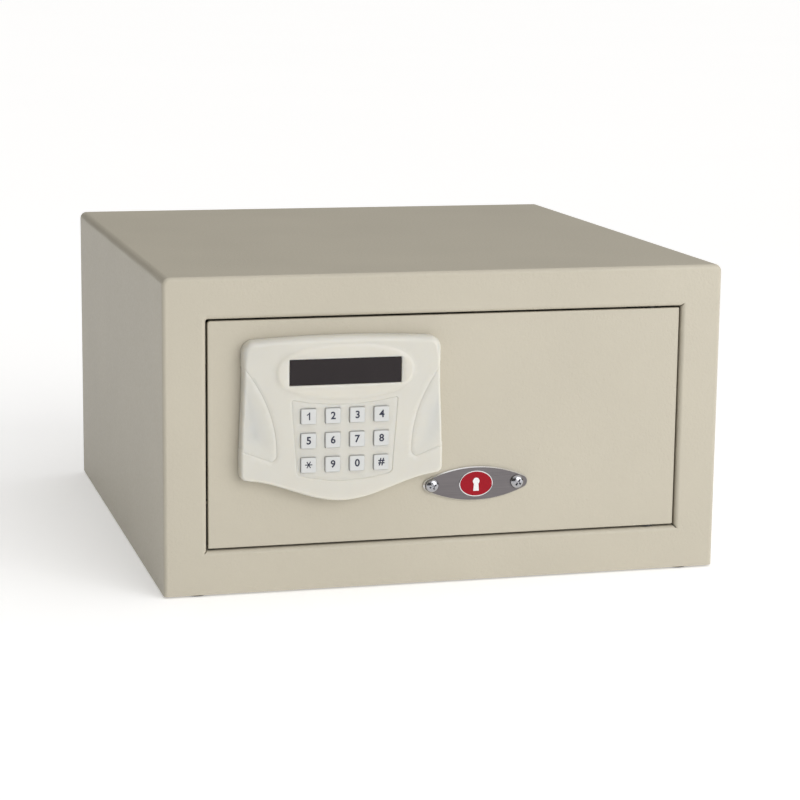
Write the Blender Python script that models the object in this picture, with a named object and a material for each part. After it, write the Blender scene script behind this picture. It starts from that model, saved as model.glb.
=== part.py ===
"""Electronic in-room safe for a hotel wardrobe, modelled as an assembly of its real pieces.

Units are metres and +Z is up. The door faces -Y. +X is to the right of someone who stands in front of it.
The origin is the middle of the footprint, on the surface that the safe stands on.
The safe is closed and unlocked: the door is shut and its bolts are drawn in.
"""

import math

import bmesh
import bpy
from mathutils import Matrix, Vector

# --- Driving dimensions ---------------------------------------------------------------------------

BODY_W, BODY_D, BODY_H = 0.420, 0.430, 0.230
SHEET = 0.002
FOOT_H = 0.0015
GAP = 0.0003                  # between pieces that touch on the real safe
RUNNING = 0.00035             # between a piece that turns or slides and what guides it

CORNER_R = 0.0055             # bend along the two upper edges of the body
FRONT_R = 0.0030              # rounded front edge of the body
LIP_R = 0.0032                # bend from the front frame into the door opening
LIP_DEPTH = 0.018
OPEN_HALF_W = 0.1790
OPEN_LOW, OPEN_HIGH = 0.0318, 0.1997   # above the body's underside

DOOR_GAP = 0.0015
DOOR_T = 0.004
DOOR_RECESS = 0.002

HOUSING_W, HOUSING_H = 0.1497, 0.1206    # keypad housing
HOUSING_T = 0.0105
BEZEL_RISE = 0.0008
PANEL_SINK = 0.0006
SCALLOP_SINK = 0.0008
HOUSING_WALL = 0.0022
KEY_PROUD = 0.0011                     # of the housing's main surface

PROUD = HOUSING_T - DOOR_RECESS + KEY_PROUD     # keys, in front of the body's front face
Y_FRONT = -(BODY_D - PROUD) / 2
Y_BACK = Y_FRONT + BODY_D
Z0 = FOOT_H
Z_TOP = Z0 + BODY_H

DOOR_FACE = Y_FRONT + DOOR_RECESS
DOOR_BACK = DOOR_FACE + DOOR_T
DOOR_HALF_W = OPEN_HALF_W - DOOR_GAP
DOOR_LOW, DOOR_HIGH = Z0 + OPEN_LOW + DOOR_GAP, Z0 + OPEN_HIGH - DOOR_GAP

# The pivot stands far enough in from the door's edge for that edge to clear the frame as it turns.
PIVOT = Vector((DOOR_HALF_W - 0.020, DOOR_FACE + 0.0063, 0))
PIN_R, BUSH_R = 0.003, 0.0044
HINGE_BLOCK = (0.012, 0.009, 0.016)
HINGE_POCKET = 0.0025

HOUSING = Vector((-0.0811, DOOR_FACE, Z0 + 0.066))    # bottom middle of the housing, on the door
CABLE = Vector((HOUSING.x + 0.0135, DOOR_FACE, HOUSING.z + 0.074))
WINDOW_W, WINDOW_H = 0.0825, 0.0189
WINDOW_X, WINDOW_Z = HOUSING.x + 0.0015, HOUSING.z + 0.09515
KEY_PITCH_X, KEY_PITCH_Z = 0.0179, 0.0177
KEY_HOLE = 0.0119
KEY_TRAVEL = 0.0008
KEYS_MID = Vector((HOUSING.x + 0.0011, 0, HOUSING.z + 0.0455))
KEY_NAMES = (("1", "2", "3", "4"), ("5", "6", "7", "8"), ("star", "9", "0", "hash"))

BADGE = Vector((0.0214, DOOR_FACE, Z0 + 0.0724))
BADGE_HALF_L, BADGE_HALF_H, BADGE_TIP_R, BADGE_T = 0.0400, 0.01285, 0.0052, 0.002
BADGE_SCREW_X, BADGE_SCREW_SHIFT = 0.0325, 0.0010

BOLT_R, BOLT_THROW = 0.008, 0.016
BOLT_Y = Y_FRONT + LIP_DEPTH + 0.001 + BOLT_R
BOLT_Z = (Z0 + 0.078, Z0 + 0.155)
BOLT_TIP_X, BOLT_LENGTH = -OPEN_HALF_W + 0.004, 0.0495
CARRIAGE_T = 0.0025
CARRIAGE_X = BOLT_TIP_X + BOLT_LENGTH + GAP
ARM_Z, ARM_HALF_H = sum(BOLT_Z) / 2, 0.008
ARM_RIGHT = 0.056
POST_X = (-0.105, 0.012)
POST_R = 0.003

MODULE = 0.001                # gear module
PINION_TEETH = 14
PINION_R = MODULE * PINION_TEETH / 2
PRESSURE = math.radians(20)
BACKLASH = 0.00025
RACK_ADDENDUM, RACK_DEDENDUM = 0.00075, 0.0010
RACK_TEETH = 13
PINION_X = -0.055
PINION_Z = ARM_Z - ARM_HALF_H - RACK_DEDENDUM - PINION_R - 0.0001

LOCK = Vector((0.0221, DOOR_FACE, BADGE.z))
BARREL_R, PLUG_R = 0.0095, 0.0065
CAM_HALF_W, CAM_LENGTH = 0.003, 0.0215
CAM_TURN = math.radians(60)
# At CAM_TURN the cam's edge has pushed the carriage's lug through the whole throw of the bolts.
LUG_HEIGHT = (BOLT_THROW * math.cos(CAM_TURN) - CAM_HALF_W * (1 - math.cos(CAM_TURN))) / math.sin(CAM_TURN)
LUG_X = LOCK.x + CAM_HALF_W + BOLT_THROW + 0.0005

COVER_X = (-0.160, 0.126)     # inner cover of the door
COVER_Z = (Z0 + 0.043, Z0 + 0.190)
COVER_DEPTH = 0.042
COVER_T = 0.0012
COVER_FLANGE = 0.009
COVER_REAR = DOOR_BACK + COVER_DEPTH

CELL_R, CELL_L = 0.0071, 0.0500
HOLDER_X = (0.0575, 0.1225)
HOLDER_Z = (Z0 + 0.088, Z0 + 0.147)
HATCH_T = 0.0015
HATCH_RAIL = 0.0035

ANCHOR_X, ANCHOR_R = 0.130, 0.006
ANCHOR_Y = 0.060              # two holes through the floor
ANCHOR_Z = Z0 + 0.150         # two holes through the back

# --- Colours --------------------------------------------------------------------------------------

FINISHES = {
    "powder_coat": ((0.60, 0.54, 0.42), 0.45, 0.0),
    "cream_plastic": ((0.80, 0.78, 0.68), 0.35, 0.0),
    "key_plastic": ((0.78, 0.79, 0.77), 0.30, 0.0),
    "smoked_window": ((0.03, 0.025, 0.025), 0.10, 0.0),
    "brushed_badge": ((0.42, 0.40, 0.41), 0.32, 1.0),
    "bright_steel": ((0.72, 0.72, 0.72), 0.18, 1.0),
    "zinc_steel": ((0.55, 0.56, 0.56), 0.40, 1.0),
    "brass": ((0.72, 0.55, 0.28), 0.30, 1.0),
    "black_plastic": ((0.03, 0.03, 0.03), 0.50, 0.0),
    "black_rubber": ((0.02, 0.02, 0.02), 0.80, 0.0),
    "grey_rubber": ((0.35, 0.36, 0.37), 0.80, 0.0),
    "circuit_board": ((0.03, 0.16, 0.07), 0.45, 0.0),
    "carpet": ((0.05, 0.05, 0.06), 0.95, 0.0),
    "battery_wrap": ((0.16, 0.17, 0.20), 0.35, 0.2),
}


def finish(name):
    """The named Principled material, made once."""
    found = bpy.data.materials.get(name)
    if found:
        return found
    colour, roughness, metallic = FINISHES[name]
    made = bpy.data.materials.new(name)
    made.use_nodes = True
    shader = made.node_tree.nodes["Principled BSDF"]
    shader.inputs["Base Color"].default_value = (*colour, 1)
    shader.inputs["Roughness"].default_value = roughness
    shader.inputs["Metallic"].default_value = metallic
    return made


# --- Modelling helpers ----------------------------------------------------------------------------


def clear_scene():
    for old in list(bpy.data.objects):
        bpy.data.objects.remove(old)


def new_object(name, build, at=(0, 0, 0), look=None, smooth=False):
    """An object whose mesh build(bm) fills in, in the object's own space, placed at a point."""
    bm = bmesh.new()
    build(bm)
    bmesh.ops.recalc_face_normals(bm, faces=bm.faces)
    mesh = bpy.data.meshes.new(name)
    bm.to_mesh(mesh)
    bm.free()
    if smooth:
        mesh.shade_smooth()
        mesh.set_sharp_from_angle(angle=math.radians(40))
    made = bpy.data.objects.new(name, mesh)
    made.location = at
    bpy.context.scene.collection.objects.link(made)
    if look:
        mesh.materials.append(finish(look))
    return made


def pivot(name, at, parent=None):
    """An empty on a joint's axis, which carries the pieces that move with that joint."""
    made = bpy.data.objects.new(name, None)
    bpy.context.scene.collection.objects.link(made)
    made.location = at
    made.empty_display_size = 0.02
    if parent:
        carry(parent, made)
    return made


def carry(parent, *pieces):
    """Parents the pieces to an empty and leaves them where they are. No empty is turned."""
    origin = parent.location.copy()
    up = parent.parent
    while up:
        origin += up.location
        up = up.parent
    for piece in pieces:
        piece.parent = parent
        piece.location -= origin


def loft(bm, loops):
    """A closed solid through loops of equal length, with both ends capped."""
    rings = [[bm.verts.new(point) for point in loop] for loop in loops]
    count = len(rings[0])
    for low, high in zip(rings, rings[1:]):
        for i in range(count):
            bm.faces.new((low[i], low[(i + 1) % count], high[(i + 1) % count], high[i]))
    bm.faces.new(list(reversed(rings[0])))
    bm.faces.new(rings[-1])


def along_y(outline, y):
    """A flat outline of (x, z) points stood up at a depth y."""
    return [Vector((x, y, z)) for x, z in outline]


def prism(bm, outline, low, high):
    loft(bm, [along_y(outline, low), along_y(outline, high)])


def block(bm, low, high):
    """A box between two corners."""
    outline = [(low[0], low[2]), (high[0], low[2]), (high[0], high[2]), (low[0], high[2])]
    prism(bm, outline, low[1], high[1])


def turned(bm, steps, axis="Y", sides=24):
    """A turned piece: steps are (distance along the axis, radius) pairs."""
    swing = {"X": Matrix.Rotation(-math.pi / 2, 3, "Z"), "Y": Matrix.Identity(3),
             "Z": Matrix.Rotation(math.pi / 2, 3, "X")}[axis]
    loft(bm, [[swing @ point for point in along_y(circle(radius, sides), far)] for far, radius in steps])


def circle(radius, sides=24, x=0.0, z=0.0):
    return [(x + radius * math.cos(2 * math.pi * i / sides), z + radius * math.sin(2 * math.pi * i / sides))
            for i in range(sides)]


def arc(x, z, radius, start, end, steps):
    """Points of an arc in degrees, both ends included."""
    angles = [math.radians(start + (end - start) * i / steps) for i in range(steps + 1)]
    return [(x + radius * math.cos(a), z + radius * math.sin(a)) for a in angles]


def rounded_rectangle(half_w, low, high, radius, steps=4):
    """An outline centred on x = 0 with four round corners."""
    inner = half_w - radius
    up, down = high - radius, low + radius
    corners = ((inner, up), (-inner, up), (-inner, down), (inner, down))
    return [point for i, (x, z) in enumerate(corners)
            for point in arc(x, z, radius, 90 * i, 90 * i + 90, steps)]


def inset(outline, distance):
    """The outline moved inwards. It runs anticlockwise as (x, z) points."""
    moved = []
    count = len(outline)
    for i, point in enumerate(outline):
        before = Vector(point) - Vector(outline[i - 1])
        after = Vector(outline[(i + 1) % count]) - Vector(point)
        ahead = (before.normalized() + after.normalized()).normalized()
        moved.append((point[0] - ahead.y * distance, point[1] + ahead.x * distance))
    return moved


def rounding(radius, steps=4):
    """(depth, inset) pairs down a quarter-round edge, from the face to the side."""
    angles = [math.pi / 2 * i / steps for i in range(steps + 1)]
    return [(radius * (1 - math.sin(a)), radius * (1 - math.cos(a))) for a in reversed(angles)]


def cutter(name, build, at=(0, 0, 0)):
    """A helper for a Boolean. It isn't part of the safe."""
    made = new_object(name, build, at)
    made.hide_render = True
    made.display_type = "WIRE"
    return made


def combine(target, other, operation):
    modifier = target.modifiers.new(other.name, "BOOLEAN")
    modifier.operation = operation
    modifier.solver = "EXACT"
    modifier.object = other


def cut(target, *others):
    for other in others:
        combine(target, other, "DIFFERENCE")


def join(target, *others):
    for other in others:
        combine(target, other, "UNION")


def bored(target, name, radius, low, high, at, axis="Y", sides=24):
    """Cuts a round hole along an axis, from low to high as seen from the point at."""
    cut(target, cutter(name, lambda bm: turned(bm, [(low, radius), (high, radius)], axis, sides), at))


# --- Cabinet --------------------------------------------------------------------------------------


def body_outline(inward, floor):
    """The body seen from the front: round upper corners, square lower ones."""
    half_w, top = BODY_W / 2 - inward, Z_TOP - inward
    radius = max(CORNER_R - inward, 0.0005)
    return ([(-half_w, floor), (half_w, floor)]
            + arc(half_w - radius, top - radius, radius, 0, 90, 6)
            + arc(radius - half_w, top - radius, radius, 90, 180, 6))


def opening_outline(outward):
    """The door opening, or a rectangle that much larger all round."""
    half_w = OPEN_HALF_W + outward
    low, high = Z0 + OPEN_LOW - outward, Z0 + OPEN_HIGH + outward
    return [(-half_w, low), (half_w, low), (half_w, high), (-half_w, high)]


def body_shell():
    """Left side, top and right side bent from one sheet, with the front frame and its folded lips."""
    def outside(bm):
        front = [along_y(body_outline(inward, Z0), Y_FRONT + depth) for depth, inward in rounding(FRONT_R)]
        loft(bm, front + [along_y(body_outline(0, Z0), Y_BACK)])

    def hollow(bm):
        outline = body_outline(SHEET, Z0 - 0.01)
        prism(bm, outline, Y_FRONT + SHEET, Y_BACK + 0.01)

    def lips(bm):
        prism(bm, opening_outline(SHEET), Y_FRONT + SHEET / 2, Y_FRONT + LIP_DEPTH)

    def opening(bm):
        flare = [along_y(opening_outline(LIP_R), Y_FRONT - 0.01)]
        for depth, inward in rounding(LIP_R):
            flare.append(along_y(opening_outline(inward), Y_FRONT + depth))
        loft(bm, flare + [along_y(opening_outline(0), Y_FRONT + LIP_DEPTH + 0.01)])

    shell = new_object("body_shell", outside, look="powder_coat", smooth=True)
    cut(shell, cutter("shell_hollow", hollow))
    join(shell, cutter("shell_lips", lips))
    cut(shell, cutter("shell_opening", opening))
    # The lips meet in slit corners, as folded sheet does.
    for side, up in ((1, 1), (1, -1), (-1, -1)):
        corner = (side * OPEN_HALF_W, Y_FRONT, Z0 + (OPEN_HIGH if up > 0 else OPEN_LOW))
        slit = cutter(f"corner_slit_{side}_{up}", lambda bm: block(
            bm, (-0.0026, -0.005, -0.0004), (0.0026, LIP_DEPTH + 0.005, 0.0004)), corner)
        slit.rotation_euler.y = -side * up * math.radians(45)
        cut(shell, slit)
    for name, height in (("upper_bush_hole", Z0 + OPEN_HIGH), ("lower_bush_hole", Z0 + OPEN_LOW - SHEET)):
        bored(shell, name, BUSH_R + GAP, -0.0005, SHEET + 0.0005, (PIVOT.x, PIVOT.y, height), "Z")
    return shell


def floor_panel():
    def sheet(bm):
        half_w = BODY_W / 2 - SHEET - GAP
        block(bm, (-half_w, Y_FRONT + SHEET + GAP, Z0), (half_w, Y_BACK - SHEET - GAP, Z0 + SHEET))

    panel = new_object("floor_panel", sheet, look="powder_coat")
    for side in (-1, 1):
        bored(panel, f"floor_anchor_{side}", ANCHOR_R, -0.01, 0.01, (side * ANCHOR_X, ANCHOR_Y, Z0), "Z")
    return panel


def back_panel():
    panel = new_object("back_panel", lambda bm: prism(
        bm, body_outline(SHEET + GAP, Z0), Y_BACK - SHEET, Y_BACK), look="powder_coat")
    for side in (-1, 1):
        bored(panel, f"back_anchor_{side}", ANCHOR_R, -0.01, 0.01, (side * ANCHOR_X, Y_BACK, ANCHOR_Z))
    return panel


def floor_mat():
    """Loose carpet on the floor, open over the anchor holes."""
    thickness = 0.0025

    def felt(bm):
        half_w = BODY_W / 2 - SHEET - 0.002
        low = Z0 + SHEET + GAP
        block(bm, (-half_w, Y_FRONT + 0.006, low), (half_w, Y_BACK - 0.005, low + thickness))

    mat = new_object("floor_mat", felt, look="carpet")
    for side in (-1, 1):
        bored(mat, f"mat_hole_{side}", ANCHOR_R + 0.003, -0.01, 0.02, (side * ANCHOR_X, ANCHOR_Y, Z0), "Z")
    return mat


def feet():
    """Four thin rubber pads, the front ones just behind the front face."""
    for row, y in (("front", Y_FRONT + 0.0105), ("rear", Y_BACK - 0.030)):
        for side, x in (("left", -0.185), ("right", 0.185)):
            new_object(f"foot_{row}_{side}", lambda bm: turned(bm, [
                (0, 0.0075), (FOOT_H - GAP, 0.008)], "Z"), (x, y, 0), "black_rubber", True)


def hinge_bushes():
    """Flanged bushes in the upper and lower lip. The lower flange carries the door."""
    def upper(bm):
        turned(bm, [(0, BUSH_R), (SHEET + GAP, BUSH_R), (SHEET + GAP, BUSH_R + 0.0016),
                    (SHEET + GAP + 0.0015, BUSH_R + 0.0016)], "Z")

    def lower(bm):
        turned(bm, [(-SHEET - 0.001, BUSH_R), (GAP, BUSH_R), (GAP, BUSH_R + 0.0016),
                    (DOOR_GAP - GAP, BUSH_R + 0.0016)], "Z")

    bushes = (("upper_hinge_bush", upper, OPEN_HIGH), ("lower_hinge_bush", lower, OPEN_LOW))
    for name, build, height in bushes:
        at = (PIVOT.x, PIVOT.y, Z0 + height)
        bush = new_object(name, build, at, "brass", True)
        bored(bush, name + "_bore", PIN_R + RUNNING, -0.01, 0.01, at, "Z")


# --- Door -----------------------------------------------------------------------------------------


def hinge_pivot(name, up):
    """A steel block welded into a pocket at the back of the door, with the pin that turns in the bush."""
    wide, deep, tall = HINGE_BLOCK
    edge = DOOR_HIGH if up > 0 else DOOR_LOW
    at = (PIVOT.x, PIVOT.y, edge)

    def body(bm):
        low, high = sorted((-up * 0.0002, -up * tall))
        block(bm, (-wide / 2, -deep / 2, low), (wide / 2, deep / 2, high))

    def pin(bm):
        reach = sorted((-up * 0.004, up * (DOOR_GAP + SHEET + 0.0045)))
        turned(bm, [(far, PIN_R) for far in reach], "Z")

    made = new_object(name, body, at, "zinc_steel")
    join(made, cutter(name + "_pin", pin, at))
    return made


def door_plate():
    """Four millimetre steel, with the holes for the keypad's cable, the lock and the screws."""
    def plate(bm):
        edge = 0.0006
        outline = rounded_rectangle(DOOR_HALF_W, DOOR_LOW, DOOR_HIGH, 0.0016, 3)
        loft(bm, [along_y(inset(outline, edge), DOOR_FACE), along_y(outline, DOOR_FACE + edge),
                  along_y(outline, DOOR_BACK)])

    door = new_object("door_plate", plate, look="powder_coat", smooth=True)
    wide, _, tall = HINGE_BLOCK
    for name, low, high in (("upper_pocket", DOOR_HIGH - tall - GAP, DOOR_HIGH + 0.01),
                            ("lower_pocket", DOOR_LOW - 0.01, DOOR_LOW + tall + GAP)):
        cut(door, cutter(name, lambda bm: block(
            bm, (PIVOT.x - wide / 2 - GAP, DOOR_BACK - HINGE_POCKET, low),
            (PIVOT.x + wide / 2 + GAP, DOOR_BACK + 0.01, high))))
    bored(door, "cable_hole", 0.009, -0.01, 0.02, CABLE)
    bored(door, "lock_head_hole", BARREL_R + 0.0015 + GAP, -0.01, 0.0015 + GAP, LOCK)
    bored(door, "lock_body_hole", BARREL_R + GAP, -0.01, 0.02, LOCK)
    for side in (-1, 1):
        bored(door, f"housing_screw_hole_{side}", 0.0022, -0.01, 0.02, housing_screw_at(side), sides=12)
        bored(door, f"badge_screw_hole_{side}", 0.0021, -0.01, 0.02, badge_screw_at(side), sides=12)
    for name, at in cover_screw_points():
        bored(door, name + "_tapping", 0.0020, -0.003, 0.01, at, sides=12)
    return door


def badge_screw_at(side):
    return BADGE + Vector((side * BADGE_SCREW_X - BADGE_SCREW_SHIFT, 0, 0))


def badge_outline():
    """Two shallow arcs with round tips."""
    half_l, half_h, tip = BADGE_HALF_L, BADGE_HALF_H, BADGE_TIP_R
    radius = ((half_l - tip) ** 2 + half_h ** 2 - tip ** 2) / (2 * (half_h - tip))
    swing = math.degrees(math.atan2(half_l - tip, radius - half_h))
    return (arc(0, half_h - radius, radius, 90 - swing, 90 + swing, 16)[:-1]
            + arc(tip - half_l, 0, tip, 90 + swing, 270 - swing, 8)[:-1]
            + arc(0, radius - half_h, radius, 270 - swing, 270 + swing, 16)[:-1]
            + arc(half_l - tip, 0, tip, -90 + swing, 90 - swing, 8)[:-1])


def badge():
    """The plate that hides the emergency lock, and its two screws."""
    def plate(bm):
        outline = badge_outline()
        chamfer = 0.0006
        face = -BADGE_T - GAP
        loft(bm, [along_y(inset(outline, chamfer), face), along_y(outline, face + chamfer),
                  along_y(outline, -GAP)])

    plate_object = new_object("badge_plate", plate, BADGE, "brushed_badge", True)
    made = [plate_object]
    for name, side in (("badge_screw_left", -1), ("badge_screw_right", 1)):
        at = badge_screw_at(side)
        bored(plate_object, name + "_hole", 0.0022, -0.01, 0.01, at, sides=16)
        shape = screw_shape(0.0052, 0.0029, 0.0017, BADGE_T + DOOR_T)
        screw = new_object(name, shape, at, "bright_steel", True)
        screw.location.y -= BADGE_T + 2 * GAP
        made.append(screw)
    return made


def screw_shape(head_r, head_h, shank_r, length, backwards=False):
    """A domed screw with a cross recess. It enters towards +Y, or towards -Y if backwards."""
    way = -1 if backwards else 1

    def build(bm):
        dome = [(-way * head_h * math.sin(math.radians(a)), head_r * math.cos(math.radians(a)))
                for a in (78, 55, 30, 0)]
        turned(bm, dome + [(0, shank_r), (way * length, shank_r)], sides=20)
        bmesh.ops.recalc_face_normals(bm, faces=bm.faces)
    return build


def lock_barrel():
    """The emergency lock's housing, sunk flush with the door behind the badge."""
    head_r = BARREL_R + 0.0015
    steps = [(0.0001, head_r), (0.0015, head_r), (0.0015, BARREL_R), (0.0217, BARREL_R)]
    barrel = new_object("lock_barrel", lambda bm: turned(bm, steps, sides=32), LOCK, "bright_steel", True)
    bored(barrel, "plug_bore", PLUG_R + RUNNING, -0.01, 0.04, LOCK, sides=32)
    return barrel


def lock_nut():
    at = LOCK + Vector((0, DOOR_T + GAP, 0))
    steps = [(0, 0.0145), (0.004, 0.0145)]
    nut = new_object("lock_nut", lambda bm: turned(bm, steps, sides=6), at, "zinc_steel")
    bored(nut, "lock_nut_bore", BARREL_R + GAP, -0.01, 0.02, at, sides=32)
    return nut


def lock_plug():
    """The part of the lock that a key turns, and the cam on its square tail."""
    tail = 0.0030
    near, far = CARRIAGE_T / 2, BOLT_Y - LOCK.y

    def plug(bm):
        turned(bm, [(0.0006, PLUG_R), (0.0222, PLUG_R)], sides=32)

    def square(bm):
        block(bm, (-tail, 0.020, -tail), (tail, far + near, tail))

    def keyway(bm):
        block(bm, (-0.0009, -0.01, -0.0040), (0.0009, 0.010, 0.0040))

    made = new_object("lock_plug", plug, LOCK, "brass", True)
    join(made, cutter("plug_tail", square, LOCK))
    cut(made, cutter("keyway", keyway, LOCK))

    def lever(bm):
        hub = 0.0065
        start = math.degrees(math.asin(CAM_HALF_W / hub))
        outline = (arc(0, 0, hub, 90 + start, 450 - start, 20)
                   + arc(0, CAM_LENGTH - CAM_HALF_W, CAM_HALF_W, 0, 180, 8))
        prism(bm, outline, far - near, far + near)

    def square_hole(bm):
        side = tail + GAP
        block(bm, (-side, far - 0.01, -side), (side, far + 0.01, side))

    cam = new_object("lock_cam", lever, LOCK, "zinc_steel", True)
    cut(cam, cutter("cam_hole", square_hole, LOCK))
    return made, cam


# --- Bolt work ------------------------------------------------------------------------------------


def bolts():
    """Two round bolts, chamfered at the tip."""
    steps = [(0, BOLT_R - 0.0012), (0.0012, BOLT_R), (BOLT_LENGTH, BOLT_R)]
    tips = [(BOLT_TIP_X, BOLT_Y, z) for z in BOLT_Z]
    return [new_object(name, lambda bm: turned(bm, steps, "X"), tip, "bright_steel", True)
            for name, tip in zip(("lower_bolt", "upper_bolt"), tips)]


def rack_edge(root, low_x):
    """The rack's teeth along the arm's lower edge, from left to right, with a space over the pinion."""
    pitch = math.pi * MODULE
    half = (pitch / 2 - BACKLASH) / 2
    slope = math.tan(PRESSURE)
    pitch_line = root - RACK_DEDENDUM
    points = []
    for i in range(RACK_TEETH):
        middle = low_x + pitch * i
        foot, tip = half + RACK_DEDENDUM * slope, half - RACK_ADDENDUM * slope
        points += [(middle - foot, root), (middle - tip, pitch_line - RACK_ADDENDUM),
                   (middle + tip, pitch_line - RACK_ADDENDUM), (middle + foot, root)]
    return points


def bolt_carriage():
    """The plate that joins both bolts, with the rack, two guide slots and the lug for the emergency cam."""
    low, high = ARM_Z - ARM_HALF_H, ARM_Z + ARM_HALF_H
    bar = 0.012
    bar_low, bar_high = BOLT_Z[0] - BOLT_R, BOLT_Z[1] + BOLT_R
    pitch = math.pi * MODULE
    rack = rack_edge(low, PINION_X - 3.5 * pitch)
    narrow_top = LOCK.z + LUG_HEIGHT + 0.008
    outline = ([(CARRIAGE_X, bar_low), (CARRIAGE_X + bar, bar_low), (CARRIAGE_X + bar, low)] + rack
               + [(LUG_X, low), (LUG_X, LOCK.z + LUG_HEIGHT), (LUG_X + 0.003, LOCK.z + LUG_HEIGHT),
                  (LUG_X + 0.003, narrow_top), (LUG_X + 0.010, narrow_top + 0.006),
                  (LUG_X + 0.010, low), (ARM_RIGHT, low), (ARM_RIGHT, high), (CARRIAGE_X + bar, high),
                  (CARRIAGE_X + bar, bar_high), (CARRIAGE_X, bar_high)])
    plate = new_object("bolt_carriage", lambda bm: prism(
        bm, outline, BOLT_Y - CARRIAGE_T / 2, BOLT_Y + CARRIAGE_T / 2), look="zinc_steel")
    radius = POST_R + RUNNING
    for i, x in enumerate(POST_X):
        slot = (arc(BOLT_THROW, 0, radius, -90, 90, 8) + arc(0, 0, radius, 90, 270, 8))
        cut(plate, cutter(f"guide_slot_{i}", lambda bm: prism(bm, slot, -0.01, 0.01), (x, BOLT_Y, ARM_Z)))
    return plate


def carriage_posts():
    """Shouldered posts on the door that the carriage slides along."""
    back, front = DOOR_BACK + GAP, BOLT_Y - CARRIAGE_T / 2 - GAP
    rear = BOLT_Y + CARRIAGE_T / 2 + GAP
    steps = [(back, 0.005), (front, 0.005), (front, POST_R), (rear, POST_R), (rear, 0.005),
             (rear + 0.002, 0.005)]
    return [new_object(name, lambda bm: turned(bm, steps), (x, 0, ARM_Z), "zinc_steel", True)
            for name, x in zip(("left_carriage_post", "right_carriage_post"), POST_X)]


def bolt_guide():
    """An angle bracket behind the door that steadies both bolts."""
    low_z, high_z = BOLT_Z[0] - 0.016, BOLT_Z[1] + 0.016
    x, web, foot = -0.150, 0.003, 0.018

    def angle(bm):
        near = DOOR_BACK + GAP
        outline = [(0, 0), (foot, 0), (foot, 0.002), (web, 0.002), (web, 0.036), (0, 0.036)]
        loft(bm, [[Vector((x + a, near + b, z)) for a, b in outline] for z in (low_z, high_z)])

    bracket = new_object("bolt_guide", angle, look="zinc_steel")
    for i, z in enumerate(BOLT_Z):
        bored(bracket, f"guide_bore_{i}", BOLT_R + RUNNING, -0.01, 0.02, (x, BOLT_Y, z), "X")
    bored(bracket, "guide_foot_hole", 0.0045, -0.01, 0.02, housing_screw_at(-1), sides=16)
    return bracket


def pinion_outline():
    """Involute teeth, with one pointing straight up into a space of the rack."""
    base = PINION_R * math.cos(PRESSURE)
    tip, root = PINION_R + 0.0008, PINION_R - 0.0010
    half_tooth = (math.pi * MODULE / 2 - BACKLASH) / 2 / PINION_R
    roll = math.tan(PRESSURE) - PRESSURE

    def lean(radius):
        """Half the tooth's angle at a radius."""
        pressure = math.acos(min(1.0, base / radius))
        return half_tooth + roll - (math.tan(pressure) - pressure)

    flank = [base + (tip - base) * i / 4 for i in range(5)]
    points = []
    for tooth in range(PINION_TEETH):
        middle = math.pi / 2 + 2 * math.pi * tooth / PINION_TEETH
        right = [(root, middle - lean(base))] + [(r, middle - lean(r)) for r in flank]
        left = [(r, middle + lean(r)) for r in reversed(flank)] + [(root, middle + lean(base))]
        points += right + left
    return [(r * math.cos(a), r * math.sin(a)) for r, a in points]


def drive_pinion():
    """The pinion on the motor's shaft."""
    at = Vector((PINION_X, BOLT_Y, PINION_Z))
    gear = new_object("drive_pinion", lambda bm: prism(bm, pinion_outline(), -0.0025, 0.0030), at, "brass")
    shaft = cutter("pinion_shaft", lambda bm: turned(bm, [(-0.0110, 0.002), (0.0045, 0.002)], sides=16), at)
    join(gear, shaft)
    return gear


def gear_motor():
    """Flat gearbox screwed to the door, with its motor beside it."""
    near, far = DOOR_BACK + GAP, BOLT_Y - 0.0055

    def gearbox(bm):
        outline = rounded_rectangle(0.020, -0.012, 0.012, 0.003, 3)
        prism(bm, outline, near, far)

    at = (PINION_X, 0, PINION_Z)
    box = new_object("gear_motor", gearbox, at, "black_plastic", True)
    can = (near + far) / 2
    motor_at = (PINION_X + 0.019, can, PINION_Z)
    join(box, cutter("motor_can", lambda bm: turned(bm, [(0, 0.0072), (0.030, 0.0072), (0.030, 0.003),
                                                         (0.033, 0.003)], "X", 24), motor_at))
    boss = [(far - 0.002, 0.0045), (far + 0.0022, 0.0045)]
    join(box, cutter("motor_boss", lambda bm: turned(bm, boss), at))
    bored(box, "motor_bore", 0.002 + RUNNING, far - 0.006, far + 0.01, at, sides=16)
    return box


# --- Keypad ---------------------------------------------------------------------------------------


def housing_outline():
    """The housing from the front, about its bottom middle: crowned top, flared sides, wavy bottom."""
    top_half, foot_half = HOUSING_W / 2 - 0.002, HOUSING_W / 2
    crown, top_r, foot_r, swell = 0.0021, 0.0090, 0.0055, 0.0172
    shoulder = HOUSING_H - crown - top_r

    def top_z(x):
        return HOUSING_H - crown * (x / (top_half - top_r)) ** 2

    def foot_z(x):
        return swell * (1 - math.cos(math.pi * x / foot_half)) / 2

    def side_x(z):
        share = min(1.0, max(0.0, (0.100 - z) / 0.065))
        return top_half + (foot_half - top_half) * share * share * (3 - 2 * share)

    across = [(top_half - top_r) * (1 - i / 5) for i in range(1, 10)]
    side = [(side_x(z), z) for z in (0.096, 0.085, 0.074, 0.063, 0.052, 0.040)]
    under = [(foot_half - foot_r) * (1 - i / 12) for i in range(1, 24)]
    right_corner = arc(top_half - top_r, shoulder, top_r, 0, 90, 5)
    left_foot = arc(foot_r - foot_half, swell + foot_r, foot_r, 180, 270, 4)
    mirror = [(-x, z) for x, z in side]
    return (right_corner + [(x, top_z(x)) for x in across]
            + [(-x, z) for x, z in reversed(right_corner)] + mirror
            + left_foot + [(-x, foot_z(x)) for x in under]
            + [(-x, z) for x, z in reversed(left_foot)] + list(reversed(side)))


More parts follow.
